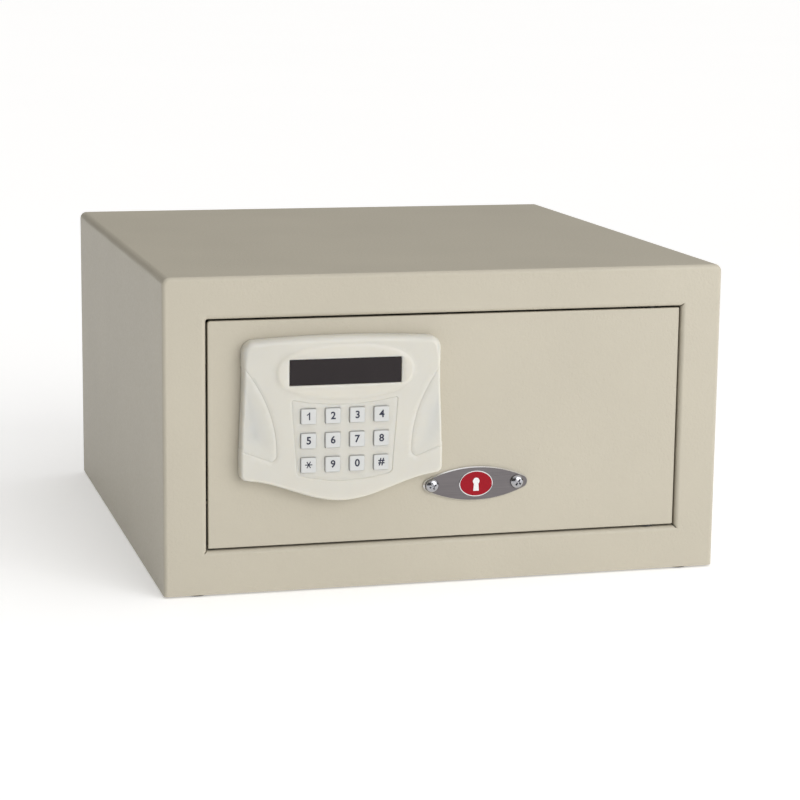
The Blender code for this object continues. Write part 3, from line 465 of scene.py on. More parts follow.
PAINT = powder_coat("powder_coat", BEIGE)
MILKY = {"Subsurface_Weight": 0.8, "Subsurface_Radius": (1.0, 0.9, 0.75), "Subsurface_Scale": 0.006}
HOUSING_PLASTIC = moulded("cream_plastic", CREAM, 0.34, **MILKY)
KEY_PLASTIC = moulded("key_plastic", (0.585, 0.590, 0.580), 0.40, grain=0.004)
INK = moulded("legend_ink", (0.012, 0.014, 0.040), 0.45, grain=0.003, cloudiness=0.1)
WINDOW = smoked("smoked_window")
BADGE_METAL = brushed("brushed_badge", (0.162, 0.150, 0.154))
CHROME = polished("bright_steel", (0.78, 0.78, 0.79))
SCREW_STEEL = polished("screw_steel", (0.40, 0.40, 0.42), 0.15)
BOLT_STEEL = brushed("ground_steel", (0.66, 0.66, 0.67), along=(700.0, 30.0, 30.0), roughness=0.22)
ZINC = zinc("zinc_steel")
BRASS = brushed("brass", (0.66, 0.47, 0.22), along=(300.0, 300.0, 300.0), roughness=0.28)
BLACK = moulded("black_plastic", (0.018, 0.018, 0.019), 0.46, grain=0.02, cloudiness=0.15)
RUBBER = rubber("black_rubber", (0.014, 0.014, 0.014))
SILICONE = rubber("grey_rubber", (0.30, 0.31, 0.32), 0.6)
ENAMEL = moulded("red_enamel", (0.29, 0.006, 0.014), 0.30, grain=0.002, cloudiness=0.06,
                 Specular_IOR_Level=0.14)
FELT = felt("carpet", (0.030, 0.031, 0.036))
BOARD = circuit("circuit_board")

# --- Cabinet ---

CORNER_R, FRONT_R, LIP_R = 5.5 * MM, 3.0 * MM, 3.2 * MM
BUSH = centre("lower_hinge_bush")
BUSH_HOLE_R = 4.7 * MM


def body_outline(inward, floor=GROUND_GAP):
    """The body from the front: round upper corners, square lower ones."""
    half, top = SHELL_HIGH.x - inward, SHELL_HIGH.z - inward
    radius = max(CORNER_R - inward, 0.5 * MM)
    return ([(-half, floor), (half, floor)] + arc(half - radius, top - radius, radius, 0, 90, 14)
            + arc(radius - half, top - radius, radius, 90, 180, 14))


def opening_outline(outward):
    """The door opening. Only its upper left corner is rounded."""
    return rounded(OPEN_LEFT - outward, OPEN_LOW - outward, OPEN_RIGHT + outward, OPEN_HIGH + outward,
                   0.3 * MM, 3, (1.9 * MM + outward * 0.6, 8))


def cabinet_shell():
    def outside(bm):
        front = [stand(body_outline(inward), FRONT + depth) for depth, inward in fillet(FRONT_R, 9)]
        loft(bm, front + [stand(body_outline(0), SHELL_HIGH.y)])

    def hollow(bm):
        prism(bm, body_outline(SHEET, GROUND_GAP - OVER), FRONT + SHEET, SHELL_HIGH.y + OVER)

    def lips(bm):
        low_x, high_x = OPEN_LEFT - SHEET, OPEN_RIGHT + SHEET
        outer = rounded(low_x, OPEN_LOW - SHEET, high_x, OPEN_HIGH + SHEET, 1.2 * MM, 4)
        prism(bm, outer, FRONT + SHEET / 2, FRONT + LIP_DEPTH)

    def opening(bm):
        loops = [stand(opening_outline(LIP_R), FRONT - OVER)]
        loops += [stand(opening_outline(inward), FRONT + depth) for depth, inward in fillet(LIP_R, 9)]
        loft(bm, loops + [stand(opening_outline(0), FRONT + LIP_DEPTH + OVER)])

    def relief(side, up):
        """The slit where two folded lips meet in a corner."""
        x, z = (OPEN_RIGHT if side > 0 else OPEN_LEFT), (OPEN_HIGH if up > 0 else OPEN_LOW)
        turn = Matrix.Translation((x, FRONT, z)) @ Matrix.Rotation(-side * up * math.pi / 4, 4, "Y")

        def slit(bm):
            outline = [(-2.6 * MM, -0.55 * MM), (1.9 * MM, -0.35 * MM), (2.6 * MM, 0.0),
                       (1.9 * MM, 0.35 * MM), (-2.6 * MM, 0.55 * MM)]
            if side < 0:
                outline = [(-a, b) for a, b in reversed(outline)]
            prism(bm, outline, -5 * MM, LIP_DEPTH + 5 * MM)
            bmesh.ops.transform(bm, matrix=turn, verts=bm.verts)
        return "-", slit

    steps = [("-", hollow), ("+", lips), ("-", opening), relief(1, 1), relief(1, -1), relief(-1, -1)]
    steps += [hole(BUSH_HOLE_R, (BUSH.x, BUSH.y, z), -0.5 * MM, SHEET + 0.5 * MM, "Z")
              for z in (OPEN_HIGH, OPEN_LOW - SHEET)]
    piece("cabinet_shell", outside, "cabinet", PAINT, ["body_shell"], 32, steps=steps)


def dent(at, axis, way):
    """A spot weld's shallow mark in a sheet."""
    steps = [(way * depth * MM, radius * MM) for depth, radius in
             ((-0.22, 0.0), (-0.20, 1.2), (-0.12, 2.2), (0.0, 3.0), (0.5, 3.1))]
    return "-", lambda bm: turned(bm, at, steps, axis, 24)


def back_sheet():
    low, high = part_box("back_panel")

    def sheet(bm):
        outline = body_outline(SHELL_HIGH.x - high.x)
        loft(bm, [stand(outline, low.y)] + layers(outline, high.y, (0, -0.4), (0.15, -0.12), (0.4, 0)))

    steps = []
    for side in (-1, 1):
        at = (side * ANCHOR_X, high.y, GROUND_GAP + WALL_ANCHOR_Z)
        countersink = [(-0.4 * MM, ANCHOR_R), (0.05 * MM, ANCHOR_R + 0.45 * MM)]
        steps.append(hole(ANCHOR_R, at, -OVER, OVER))
        steps.append(("-", lambda bm, at=at: turned(bm, at, countersink)))
        for i in range(3):
            steps.append(dent((side * (high.x - WELD_IN), high.y, (45 + 70 * i) * MM), "Y", 1))
    for i in range(5):
        for z in (high.z - WELD_IN, low.z + WELD_IN):
            steps.append(dent(((i - 2) * 88 * MM, high.y, z), "Y", 1))
    piece("back_sheet", sheet, "cabinet", PAINT, ["back_panel"], 30, steps=steps)


def shelf_anchor_holes(radius, z, sides):
    return [hole(radius, (side * ANCHOR_X, SHELF_ANCHOR_Y, z), -OVER, OVER, "Z", sides) for side in (-1, 1)]


def floor_sheet():
    low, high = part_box("floor_panel")
    steps = shelf_anchor_holes(ANCHOR_R, low.z, 32)
    steps += [dent((side * (high.x - WELD_IN), (-150 + 75 * i) * MM, low.z), "Z", -1)
              for side in (-1, 1) for i in range(5)]
    piece("floor_sheet", lambda bm: block(bm, low, high, 0.25 * MM), "cabinet", PAINT,
          ["floor_panel"], 30, steps=steps)


def felt_mat():
    """Loose felt: its top is uneven, its cut edges are soft."""
    low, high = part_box("floor_mat")
    low, high = low + Vector((0.3, 0.3, 0.05)) * MM, high - Vector((0.3, 0.3, 0.25)) * MM
    across, along = 150, 150
    sag = (0.55, 0.12, 0)

    def sheet(bm):
        rows = []
        for j in range(along + 1):
            row = []
            for i in range(across + 1):
                x = low.x + (high.x - low.x) * i / across
                y = low.y + (high.y - low.y) * j / along
                edge = min(i, j, across - i, along - j)
                wave, fuzz = noise.noise(Vector((x, y, 0)) * 40), noise.noise(Vector((x, y, 5)) * 330)
                nap = wave * 0.12 + fuzz * 0.10
                row.append((x, y, high.z + (nap - sag[min(edge, 2)]) * MM))
            rows.append(row)
        top = [[bm.verts.new(p) for p in row] for row in rows]
        base = [[bm.verts.new((p[0], p[1], low.z)) for p in row] for row in rows]
        for j in range(along):
            for i in range(across):
                bm.faces.new((top[j][i], top[j][i + 1], top[j + 1][i + 1], top[j + 1][i]))
                bm.faces.new((base[j][i], base[j + 1][i], base[j + 1][i + 1], base[j][i + 1]))
        for i in range(across):
            for j in (0, along):
                bm.faces.new((top[j][i], base[j][i], base[j][i + 1], top[j][i + 1]))
        for j in range(along):
            for i in (0, across):
                bm.faces.new((top[j][i], top[j + 1][i], base[j + 1][i], base[j][i]))

    steps = shelf_anchor_holes(ANCHOR_R + 3 * MM, low.z, 48)
    piece("felt_mat", sheet, "cabinet", FELT, ["floor_mat"], 50, False, steps)


def feet():
    for row in ("front", "rear"):
        for side in SIDES:
            node = f"foot_{row}_{side}"
            low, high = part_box(node)
            at = (centre(node).x, centre(node).y, low.z)
            radius = (high.x - low.x) / 2
            tall = high.z - low.z
            steps = [(0, radius - 3.0 * MM), (0.25 * MM, radius - 2.8 * MM), (0.25 * MM, radius - 2.0 * MM),
                     (0, radius - 1.8 * MM), (0, radius - 0.6 * MM), (0.2 * MM, radius - 0.15 * MM),
                     (0.5 * MM, radius), (tall - 0.3 * MM, radius), (tall, radius - 0.3 * MM)]
            piece("rubber_" + node, lambda bm: turned(bm, at, steps, "Z"), "cabinet",
                  RUBBER, [node], 40)


# --- Door ---

LOCK = Vector((centre("lock_barrel").x, DOOR_FACE, centre("lock_barrel").z))
HINGE_LOW, HINGE_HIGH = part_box("lower_hinge_pivot")
HINGE_H = 16.3 * MM


def door_panel():
    """Four millimetre plate with softened edges. Its upper left corner is rounder than the others."""
    def outline(inward):
        return rounded(DOOR_LOW.x + inward, DOOR_LOW.z + inward, DOOR_HIGH.x - inward, DOOR_HIGH.z - inward,
                       0.7 * MM, 6, (2.0 * MM, 8))

    def plate(bm):
        front = [stand(outline(inward), DOOR_FACE + depth) for depth, inward in fillet(0.7 * MM, 5)]
        rear = [stand(outline(inward), DOOR_BACK - depth) for depth, inward in reversed(fillet(0.4 * MM, 3))]
        loft(bm, front + rear)

    def pocket(low_z, high_z):
        grow = 0.3 * MM
        return "-", lambda bm: block(bm, (HINGE_LOW.x - grow, DOOR_BACK - 2.5 * MM, low_z),
                                     (HINGE_HIGH.x + grow, DOOR_BACK + OVER, high_z))

    cable = (centre("ribbon_cable").x, DOOR_FACE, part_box("ribbon_cable")[1].z)
    steps = [pocket(DOOR_LOW.z - OVER, DOOR_LOW.z + HINGE_H),
             pocket(DOOR_HIGH.z - HINGE_H, DOOR_HIGH.z + OVER),
             hole(11.3 * MM, LOCK, -OVER, 1.8 * MM), hole(9.8 * MM, LOCK, -OVER, OVER),
             hole(9.0 * MM, cable, -OVER, OVER)]
    steps += [drilled(f"{kind}_screw_{side}", radius * MM, DOOR_FACE)
              for kind, radius in (("housing", 2.2), ("badge", 2.1)) for side in SIDES]
    steps += [drilled(node, 2.0 * MM, DOOR_BACK, -3 * MM) for node in COVER_SCREWS]
    piece("door_panel", plate, "door", PAINT, ["door_plate"], 32, steps=steps)


def badge_outline():
    """Two shallow arcs with round tips."""
    low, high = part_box("badge_plate")
    half_l, half_h, tip = (high.x - low.x) / 2, (high.z - low.z) / 2, 5.2 * MM
    radius = ((half_l - tip) ** 2 + half_h ** 2 - tip ** 2) / (2 * (half_h - tip))
    swing = math.degrees(math.atan2(half_l - tip, radius - half_h))
    x, z = centre("badge_plate").x, centre("badge_plate").z
    return (arc(x, z + half_h - radius, radius, 90 - swing, 90 + swing, 60)[:-1]
            + arc(x + tip - half_l, z, tip, 90 + swing, 270 - swing, 24)[:-1]
            + arc(x, z + radius - half_h, radius, 270 - swing, 270 + swing, 60)[:-1]
            + arc(x + half_l - tip, z, tip, -90 + swing, 90 - swing, 24)[:-1])


def badge():
    """The plate over the emergency lock: brushed, with a bright bevel and a keyhole on an enamel oval."""
    low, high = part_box("badge_plate")
    outline = badge_outline()

    def plate(bm):
        loft(bm, layers(outline, low.y, (0.75, 0), (0.12, 0.75), (0, 0.95))
             + layers(outline, high.y, (0, -0.1), (0.1, 0)))

    holes = [drilled("badge_screw_" + side, 2.2 * MM, low.y, sides=24) for side in SIDES]
    made = piece("badge_face", plate, "door", [BADGE_METAL, CHROME], ["badge_plate"], 20,
                 steps=holes)
    for face in made.data.polygons:
        if face.normal.y > -0.97:
            face.material_index = 1

    face, mid = low.y, centre("badge_plate")
    oval = [(mid.x + 12.2 * MM * math.cos(a), mid.z + 9.0 * MM * math.sin(a))
            for a in np.linspace(0, 2 * math.pi, 96, False)]

    def enamel(bm):
        loft(bm, layers(oval, face, (0.30, -0.30), (0.08, -0.22), (0, -0.02), (0, 0.2)))

    def rim(bm):
        ring(bm, layers(oval, face, (-0.65, 0.1), (-0.65, -0.22), (-0.45, -0.40), (-0.15, -0.40),
                        (0.05, -0.24), (0.05, 0.1)))

    def keyhole(bm):
        head, foot, drop = 2.6 * MM, 2.2 * MM, 5.4 * MM
        points = arc(mid.x, mid.z + 1.9 * MM, head, -48, 228, 40)
        points += [(mid.x - foot, mid.z - drop), (mid.x + foot, mid.z - drop)]
        loft(bm, layers(points, face, (0.12, -0.52), (0, -0.42), (0, -0.1)))

    piece("badge_enamel", enamel, "door", ENAMEL, angle=25)
    piece("badge_rim", rim, "door", CHROME, angle=35)
    piece("badge_keyhole", keyhole, "door", CHROME, angle=30)


def ring(bm, loops):
    """A closed band through loops, the last joined to the first."""
    rings = loft(bm, loops, caps=(False, False))
    count = len(rings[0])
    for i in range(count):
        bm.faces.new((rings[-1][i], rings[-1][(i + 1) % count], rings[0][(i + 1) % count], rings[0][i]))


def screw(node, way, head_h, body, look, spin=0.3):
    """A domed screw with a cross recess, in the CAD screw's place. way is where its head faces along Y."""
    low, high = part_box(node)
    x, z = centre(node).x, centre(node).z
    head_r = (high.x - low.x) / 2
    face = low.y if way < 0 else high.y
    tail = high.y if way < 0 else low.y
    seat = face - way * head_h
    shank = head_r * 0.40
    steps = [(face - way * head_h * (1 - math.sin(math.radians(a))), head_r * math.cos(math.radians(a)))
             for a in (88, 78, 66, 54, 42, 30, 18, 6)]
    steps += [(seat + way * 0.05 * MM, head_r), (seat, head_r - 0.15 * MM), (seat, shank),
              (tail + way * 0.6 * MM, shank), (tail, shank * 0.55)]
    wide, long, deep = head_r * 0.26, head_r * 1.16, head_h * 0.62

    def cross(turn):
        def build(bm):
            a, b = long / 2, wide / 2
            half = [(-a, -b), (a, -b), (a, b), (-a, b)]
            floor = [(a * 0.55, b * 0.75) for a, b in half]
            loft(bm, [stand(spun(loop, turn, x, z), face + way * depth)
                      for loop, depth in ((half, 2 * MM), (half, -0.15 * MM), (floor, -deep))])
        return "-", build

    def recess(bm):
        turned(bm, (x, 0, z), [(face + way * MM, wide * 0.95), (face - way * 0.2 * MM, wide * 0.95),
                               (face - way * deep * 1.15, wide * 0.3)], sides=16)

    piece(node + "_head", lambda bm: turned(bm, (x, 0, z), steps, sides=40), body, look, [node], 30,
          steps=[cross(spin), cross(spin + math.pi / 2), ("-", recess)])


# --- Keypad ---

HOUSING = Vector((centre("keypad_housing").x, DOOR_FACE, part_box("keypad_housing")[0].z))
THICK, RISE, WALL = 10.5 * MM, 0.8 * MM, 2.2 * MM
WINDOW_RIM = 3.0 * MM
GRIP_Z = (40.4 * MM, 99.6 * MM)


def housing_outline():
    """The housing from the front, about its bottom middle: crowned top, flared sides, wavy bottom."""
    half_foot, half_top = 74.85 * MM, 72.85 * MM
    crown, top_r, foot_r, swell = 2.1 * MM, 9.0 * MM, 5.5 * MM, 17.2 * MM
    tall = 120.6 * MM
    shoulder = tall - crown - top_r

    def side_x(z):
        share = min(1.0, max(0.0, (100 * MM - z) / (65 * MM)))
        step = 0.35 * MM if GRIP_Z[0] < z < GRIP_Z[1] else 0.0
        return half_top + (half_foot - half_top) * share * share * (3 - 2 * share) - step

    right = arc(half_top - top_r, shoulder, top_r, 0, 90, 12)
    across = [(half_top - top_r) * (1 - i / 24) for i in range(1, 48)]
    down = [z * MM for z in (106, 103, 100.2)] + [GRIP_Z[1] + 0.1 * MM, GRIP_Z[1] - 0.25 * MM]
    down += [z * MM for z in np.linspace(97, 43, 24)] + [GRIP_Z[0] + 0.25 * MM, GRIP_Z[0] - 0.1 * MM]
    down += [z * MM for z in (38, 35, 32, 29, 26)]
    side = [(side_x(z), z) for z in down]
    under = [(half_foot - foot_r) * (1 - i / 36) for i in range(1, 72)]
    foot = arc(foot_r - half_foot, swell + foot_r, foot_r, 180, 270, 10)
    return (right + [(x, tall - crown * (x / (half_top - top_r)) ** 2) for x in across]
            + [(-x, z) for x, z in reversed(right)] + [(-x, z) for x, z in side]
            + foot + [(-x, swell * (1 - math.cos(math.pi * x / half_foot)) / 2) for x in under]
            + [(-x, z) for x, z in reversed(foot)] + list(reversed(side)))


def grip_outline(side):
    """A finger grip: a curved triangle that runs off the housing's edge."""
    edge, shift = 80.8 * MM, 0.9 * MM
    bow = [((49.3 + 23.8 * (i / 24) ** 2.08) * MM, (36 + 64 * i / 24) * MM) for i in range(28)]
    corner = arc(54.3 * MM, 35.5 * MM, 5.0 * MM, 262, 180, 10)
    outline = [(edge, 41 * MM), (edge, 109 * MM)] + list(reversed(bow)) + list(reversed(corner))
    if side < 0:
        outline = [(-x, z) for x, z in reversed(outline)]
    return [(x + shift, z) for x, z in outline]


def panel_outline():
    """The sunk keypad panel: its top follows the window's oval, its sides taper, its foot sags."""
    half_top, half_low, low, high, r = 39.7 * MM, 35.3 * MM, 20.0 * MM, 75.8 * MM, 1.6 * MM
    shift = 1.1 * MM
    top = [(x, high - 4.4 * MM * (1 - (x / half_top) ** 2))
           for x in np.linspace(half_top - r, r - half_top, 31)]
    foot = [(x, low - 4.8 * MM * (1 - (x / half_low) ** 2))
            for x in np.linspace(r - half_low, half_low - r, 31)]
    loop = (top + [(-half_top + 0.2 * MM, high - r)] + [(-half_low - 0.2 * MM, low + r)]
            + foot + [(half_low + 0.2 * MM, low + r), (half_top - 0.2 * MM, high - r)])
    return [(x + shift, z) for x, z in loop]


def oval_outline():
    """The raised oval round the window, a little fuller than an ellipse."""
    x, z, half_w, half_h, power = 1.5 * MM, 94.9 * MM, 50.9 * MM, 20.0 * MM, 2 / 2.4
    points = []
    for a in np.linspace(0, 2 * math.pi, 120, False):
        c, s = math.cos(a), math.sin(a)
        points.append((x + math.copysign(abs(c) ** power * half_w, c),
                       z + math.copysign(abs(s) ** power * half_h, s)))
    return points


def distance(points, outline):
    """Signed distance of each point to a closed outline, positive inside."""
    a = np.array(outline)
    b = np.roll(a, -1, axis=0)
    along = b - a
    off = points[:, None] - a
    share = np.clip((off * along).sum(-1) / (along * along).sum(-1), 0, 1)
    near = np.linalg.norm(off - share[..., None] * along, axis=-1).min(1)
    x, z = points[:, 0, None], points[:, 1, None]
    rise = np.where(np.abs(along[:, 1]) < 1e-12, 1e-12, along[:, 1])
    crossing = ((a[:, 1] > z) != (b[:, 1] > z)) & (x < a[:, 0] + (z - a[:, 1]) / rise * along[:, 0])
    return np.where(crossing.sum(1) % 2 == 1, near, -near)


def smooth(value, low, high):
    share = np.clip((value - low) / (high - low), 0, 1)
    return share * share * (3 - 2 * share)


def groove(inward, deep, rise):
    """The depth below the surface where a sunk area meets it: a step down, then a little way up again."""
    return deep * (smooth(inward, -0.3 * MM, 0.35 * MM) - rise * smooth(inward, 0.35 * MM, 1.3 * MM))


def neat(loop):
    """Whole micrometres, so a point is known again by its numbers."""
    return [(round(x, 6), round(z, 6)) for x, z in loop]


class Face:
    """The housing's front as a height over the door, and the loops that bound it."""

    def __init__(self):
        self.outline = housing_outline()
        self.oval = oval_outline()
        self.panel = panel_outline()
        self.grips = [grip_outline(-1), grip_outline(1)]
        low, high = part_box("display_window")
        gap = 0.3 * MM
        low, high = low - HOUSING, high - HOUSING
        self.window = rounded(low.x + WINDOW_RIM - gap, low.z + WINDOW_RIM - gap,
                              high.x - WINDOW_RIM + gap, high.z - WINDOW_RIM + gap, 0.6 * MM, 5)
        # The caps sit a little to the right of their holes and below them.
        shift = Vector((-0.08, 0, 0.08)) * MM - HOUSING
        self.keys = [square(centre("key_" + name) + shift, 5.67 * MM, 0.8 * MM) for name in KEY_NAMES]
        self.outline = neat(self.outline)
        self.holes = [neat(loop) for loop in (self.window, *self.keys)]

    def height(self, points):
        points = np.array(points, float)
        x, z = points[:, 0], points[:, 1]
        inside = distance(points, self.outline)
        # The edge is a quarter ellipse, widest along the top.
        drop, slope_w = 4.6 * MM, 2.9 * MM
        reach = (2.1 + 2.6 * smooth(z, 94 * MM, 114 * MM)) * MM
        share = np.clip((reach - inside) / reach, 0, 1)
        made = THICK - drop * (1 - np.sqrt(1 - share ** 2))
        # The whole front is slightly domed across.
        made -= 0.35 * MM * (x / (75 * MM)) ** 2
        climb = 1 - np.clip(distance(points, self.oval) / slope_w, 0, 1)
        made += RISE * (1 - climb ** 2) * smooth(inside, 1.5 * MM, 6.5 * MM)
        made -= groove(distance(points, self.panel), 0.58 * MM, 0.45)
        for grip in self.grips:
            deep = distance(points, grip)
            made -= groove(deep, 0.5 * MM, 0.75) + 0.8 * MM * smooth(deep, 1.5 * MM, 16 * MM)
        edge = distance(points, self.window)
        made -= 0.35 * MM * smooth(edge, -0.45 * MM, 0.0)
        for key in self.keys:
            made -= 0.22 * MM * smooth(distance(points, key), -0.25 * MM, 0.0)
        return made


def scatter(face):
    """Points for the front's mesh: dense along its features, sparse between them."""
    taken, cells = [], {}

    def offer(points, spacing):
        for x, z in points:
            home = (int(x // (2 * MM)), int(z // (2 * MM)))
            near = [p for i in (-1, 0, 1) for j in (-1, 0, 1)
                    for p in cells.get((home[0] + i, home[1] + j), ())]
            if all((x - a) ** 2 + (z - b) ** 2 > spacing ** 2 for a, b in near):
                cells.setdefault(home, []).append((x, z))
                taken.append((x, z))

    def fitting(points):
        points = np.array(points)
        keep = distance(points, face.outline) > 0.04 * MM
        for loop in face.holes:
            keep &= distance(points, loop) < -0.12 * MM
        return points[keep]

    for loop in [face.outline, *face.holes]:
        for x, z in loop:
            home = (int(x // (2 * MM)), int(z // (2 * MM)))
            cells.setdefault(home, []).append((x, z))
    rings = [(loop, (-0.25,), 0.15) for loop in face.keys] + [(face.window, (-0.22, -0.47), 0.18)]
    rings += [(face.outline, (0.05, 0.14, 0.28, 0.48, 0.75, 1.1, 1.5, 2.0, 2.6, 3.4, 4.3, 5.0, 6.4), 0.5)]
    rings += [(face.panel, (-0.3, -0.12, 0.06, 0.24, 0.45, 0.75, 1.1), 0.3)]
    rings += [(grip, (-0.3, -0.12, 0.06, 0.24, 0.45, 0.75, 1.1), 0.3) for grip in face.grips]
    rings += [(face.oval, (-0.2, 0.03, 0.3, 0.7, 1.2, 1.8, 2.4, 2.9), 0.4)]
    for loop, offsets, spacing in rings:
        fine = refine(loop, 1.1 * MM)
        for offset in offsets:
            ring_points = np.array(inset(fine, offset * MM))
            true = np.abs(distance(ring_points, loop) - offset * MM) < 0.08 * MM + abs(offset) * 0.1 * MM
            offer(fitting(ring_points[true]) if true.any() else [], spacing * MM)
    step = 2.6 * MM
    grid = [((i + (j % 2) / 2) * step, j * step * 0.87) for j in range(56) for i in range(-31, 32)]
    offer(fitting(grid), 1.7 * MM)
    return taken


def refine(loop, longest):
    """The loop with its long sides divided."""
    fine = []
    for i, point in enumerate(loop):
        start, end = Vector(point), Vector(loop[(i + 1) % len(loop)])
        parts = max(1, math.ceil((end - start).length / longest))
        fine += [tuple(start.lerp(end, k / parts)) for k in range(parts)]
    return fine


def tiled(bm, outline, holes, extra, place):
    """Triangles between an outline and its holes. Returns the vertices by their (x, z)."""
    points, edges = [], []
    for loop in (outline, *holes):
        first = len(points)
        points += [Vector(p) for p in loop]
        edges += [(first + i, first + (i + 1) % len(loop)) for i in range(len(loop))]
    points += [Vector(p) for p in extra]
    verts, _, faces, *_ = geometry.delaunay_2d_cdt(points, edges, [], 0, 1e-7)
    flat = np.array([tuple(v) for v in verts])
    middles = np.array([flat[list(f)].mean(0) for f in faces])
    keep = distance(middles, outline) > 0
    for loop in holes:
        keep &= distance(middles, loop) < 0
    made = [bm.verts.new(p) for p in place(flat)]
    for f, wanted in zip(faces, keep):
        if wanted:
            bm.faces.new([made[i] for i in f])
    return dict(zip(neat(flat), made))


def bridge(bm, loop, first, second, other=None):
    """A wall between two sheets' vertices along a loop, or from one loop to another."""
    keys, others = neat(loop), neat(other or loop)
    count = len(keys)
    for i in range(count):
        j = (i + 1) % count
        bm.faces.new((first[keys[i]], first[keys[j]], second[others[j]], second[others[i]]))


def keypad_housing():
    """A moulded shell with an open back: a modelled front, walls, and a plain inside."""
    face = Face()
    inner = neat(inset(face.outline, WALL))

    def at(points, out):
        return [(x + HOUSING.x, HOUSING.y - h, z + HOUSING.z) for (x, z), h in zip(points, out)]

    def shell(bm):
        front = tiled(bm, face.outline, face.holes, scatter(face), lambda p: at(p, face.height(p)))
        ceiling = tiled(bm, inner, face.holes, [], lambda p: at(p, [THICK - WALL] * len(p)))
        rim_out, rim_in = [dict(zip(loop, [bm.verts.new(p) for p in at(loop, [0.3 * MM] * len(loop))]))
                           for loop in (face.outline, inner)]
        bridge(bm, face.outline, front, rim_out)
        bridge(bm, face.outline, rim_out, rim_in, inner)
        bridge(bm, inner, rim_in, ceiling)
        for loop in face.holes:
            bridge(bm, loop, front, ceiling)
        loose = [vert for vert in bm.verts if not vert.link_faces]
        bmesh.ops.delete(bm, geom=loose, context="VERTS")

    piece("keypad_shell", shell, "door", HOUSING_PLASTIC, ["keypad_housing"], 40, False)


def display():
    """A glossy pane with a fine bevel, just below the oval's surface."""
    low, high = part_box("display_window")
    edge = rounded(low.x + WINDOW_RIM, low.z + WINDOW_RIM, high.x - WINDOW_RIM, high.z - WINDOW_RIM,
                   0.45 * MM, 4)

    def pane(bm):
        loft(bm, layers(edge, low.y, (0.22, 0.12), (0.06, 0.18), (0, 0.34), (0, 3.2)))

    piece("display_pane", pane, "door", WINDOW, ["display_window"], 30)


def star(bm, y, deep):
    """Three crossed bars."""
    half_l, half_w = 2.7 * MM, 0.36 * MM
    corners = [(-half_l, -half_w), (half_l, -half_w), (half_l, half_w), (-half_l, half_w)]
    for i in range(3):
        prism(bm, spun(corners, math.radians(60 * i)), y, y + deep + i * 0.002 * MM)


# The figure 1, as a share of its height.
ONE = [(0.01, -0.5), (0.17, -0.5), (0.17, 0.5), (0.06, 0.5), (-0.01, 0.39), (-0.13, 0.28), (-0.27, 0.21),
       (-0.27, 0.07), (-0.12, 0.13), (0.01, 0.23)]


def legend_mesh(name, height):
    """A key's legend as a thin solid about the key's middle, in the x-z plane."""
    thin = 0.06 * MM
    if name == "star":
        return mesh_of("legend_star", lambda bm: star(bm, 0.0, thin))
    if name == "1":
        outline = [(a * height, b * height) for a, b in ONE]
        return mesh_of("legend_1", lambda bm: prism(bm, outline, 0.0, thin))
    text = bpy.data.curves.new("legend", "FONT")
    text.body = {"hash": "#"}.get(name, name)
    text.align_x = "CENTER"
    text.size = 1.0
    text.resolution_u = 6
    text.extrude = thin / 2
    text.offset = 0.026
    helper = bpy.data.objects.new("legend", text)
    bpy.context.scene.collection.objects.link(helper)
    mesh = bpy.data.meshes.new_from_object(helper.evaluated_get(bpy.context.evaluated_depsgraph_get()))
    bpy.data.objects.remove(helper)
    mesh.name = "legend_" + name
    co = np.array([v.co for v in mesh.vertices])
    low, high = co.min(0), co.max(0)
    size = height / (high[1] - low[1])
    for vert, (x, y, z) in zip(mesh.vertices, co):
        vert.co = ((x - (low[0] + high[0]) / 2) * size, -z, (y - (low[1] + high[1]) / 2) * size)
    return mesh


# A key cap's sections in millimetres: depth under its highest edge, half width and corner radius.
CAP = ((0.10, 2.6, 1.2), (0.04, 3.8, 1.1), (0.0, 4.85, 1.0), (0.03, 5.15, 0.95), (0.12, 5.32, 0.9),
       (0.28, 5.40, 0.85), (0.9, 5.45, 0.8), (3.0, 5.58, 0.7), (3.6, 5.58, 0.6))


def keys():
    """Caps with a shallow dish and soft edges, each with its printed legend."""
    for name in KEY_NAMES:
        node = "key_" + name
        low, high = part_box(node)
        at = centre(node)
        flange = square(at, (high.x - low.x) / 2, 0.6 * MM)

        def cap(bm):
            loft(bm, [stand(square(at, half * MM, radius * MM), low.y + depth * MM)
                      for depth, half, radius in CAP] + [stand(flange, high.y - MM), stand(flange, high.y)])

        body = "button_" + name
        piece("cap_" + name, cap, body, KEY_PLASTIC, [node], 35, False)
        legend = legend_mesh(name, 5.6 * MM)
        legend.transform(Matrix.Translation((at.x + 0.1 * MM, low.y + 0.05 * MM, at.z + 0.35 * MM)))
        piece("legend_" + name, legend, body, INK, angle=30, weighted=False)


# --- Bolt work, inner cover and cells ---


BOLTS = ("lower_bolt", "upper_bolt")


def bolts():
    for name in BOLTS:
        low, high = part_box(name)
        at = (low.x, centre(name).y, centre(name).z)
        radius, long = (high.z - low.z) / 2, high.x - low.x
        steps = [(0.0, radius * 0.4), (0.0, radius - 1.5 * MM), (0.15 * MM, radius - 1.2 * MM),
                 (1.15 * MM, radius - 0.12 * MM), (1.5 * MM, radius), (long, radius)]
        piece(name + "_bar", lambda bm: turned(bm, at, steps, "X", 64), "bolt_work",
              BOLT_STEEL, [name], 30)


HOLDER_LOW, HOLDER_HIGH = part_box("battery_holder")
HATCH_LOW, HATCH_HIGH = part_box("battery_hatch")
TRAY_LOW, TRAY_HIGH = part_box("inner_cover")
TRAY_LIP, TRAY_SHEET = 9.0 * MM, 1.2 * MM
TRAY_REAR = DOOR_BACK + 42 * MM


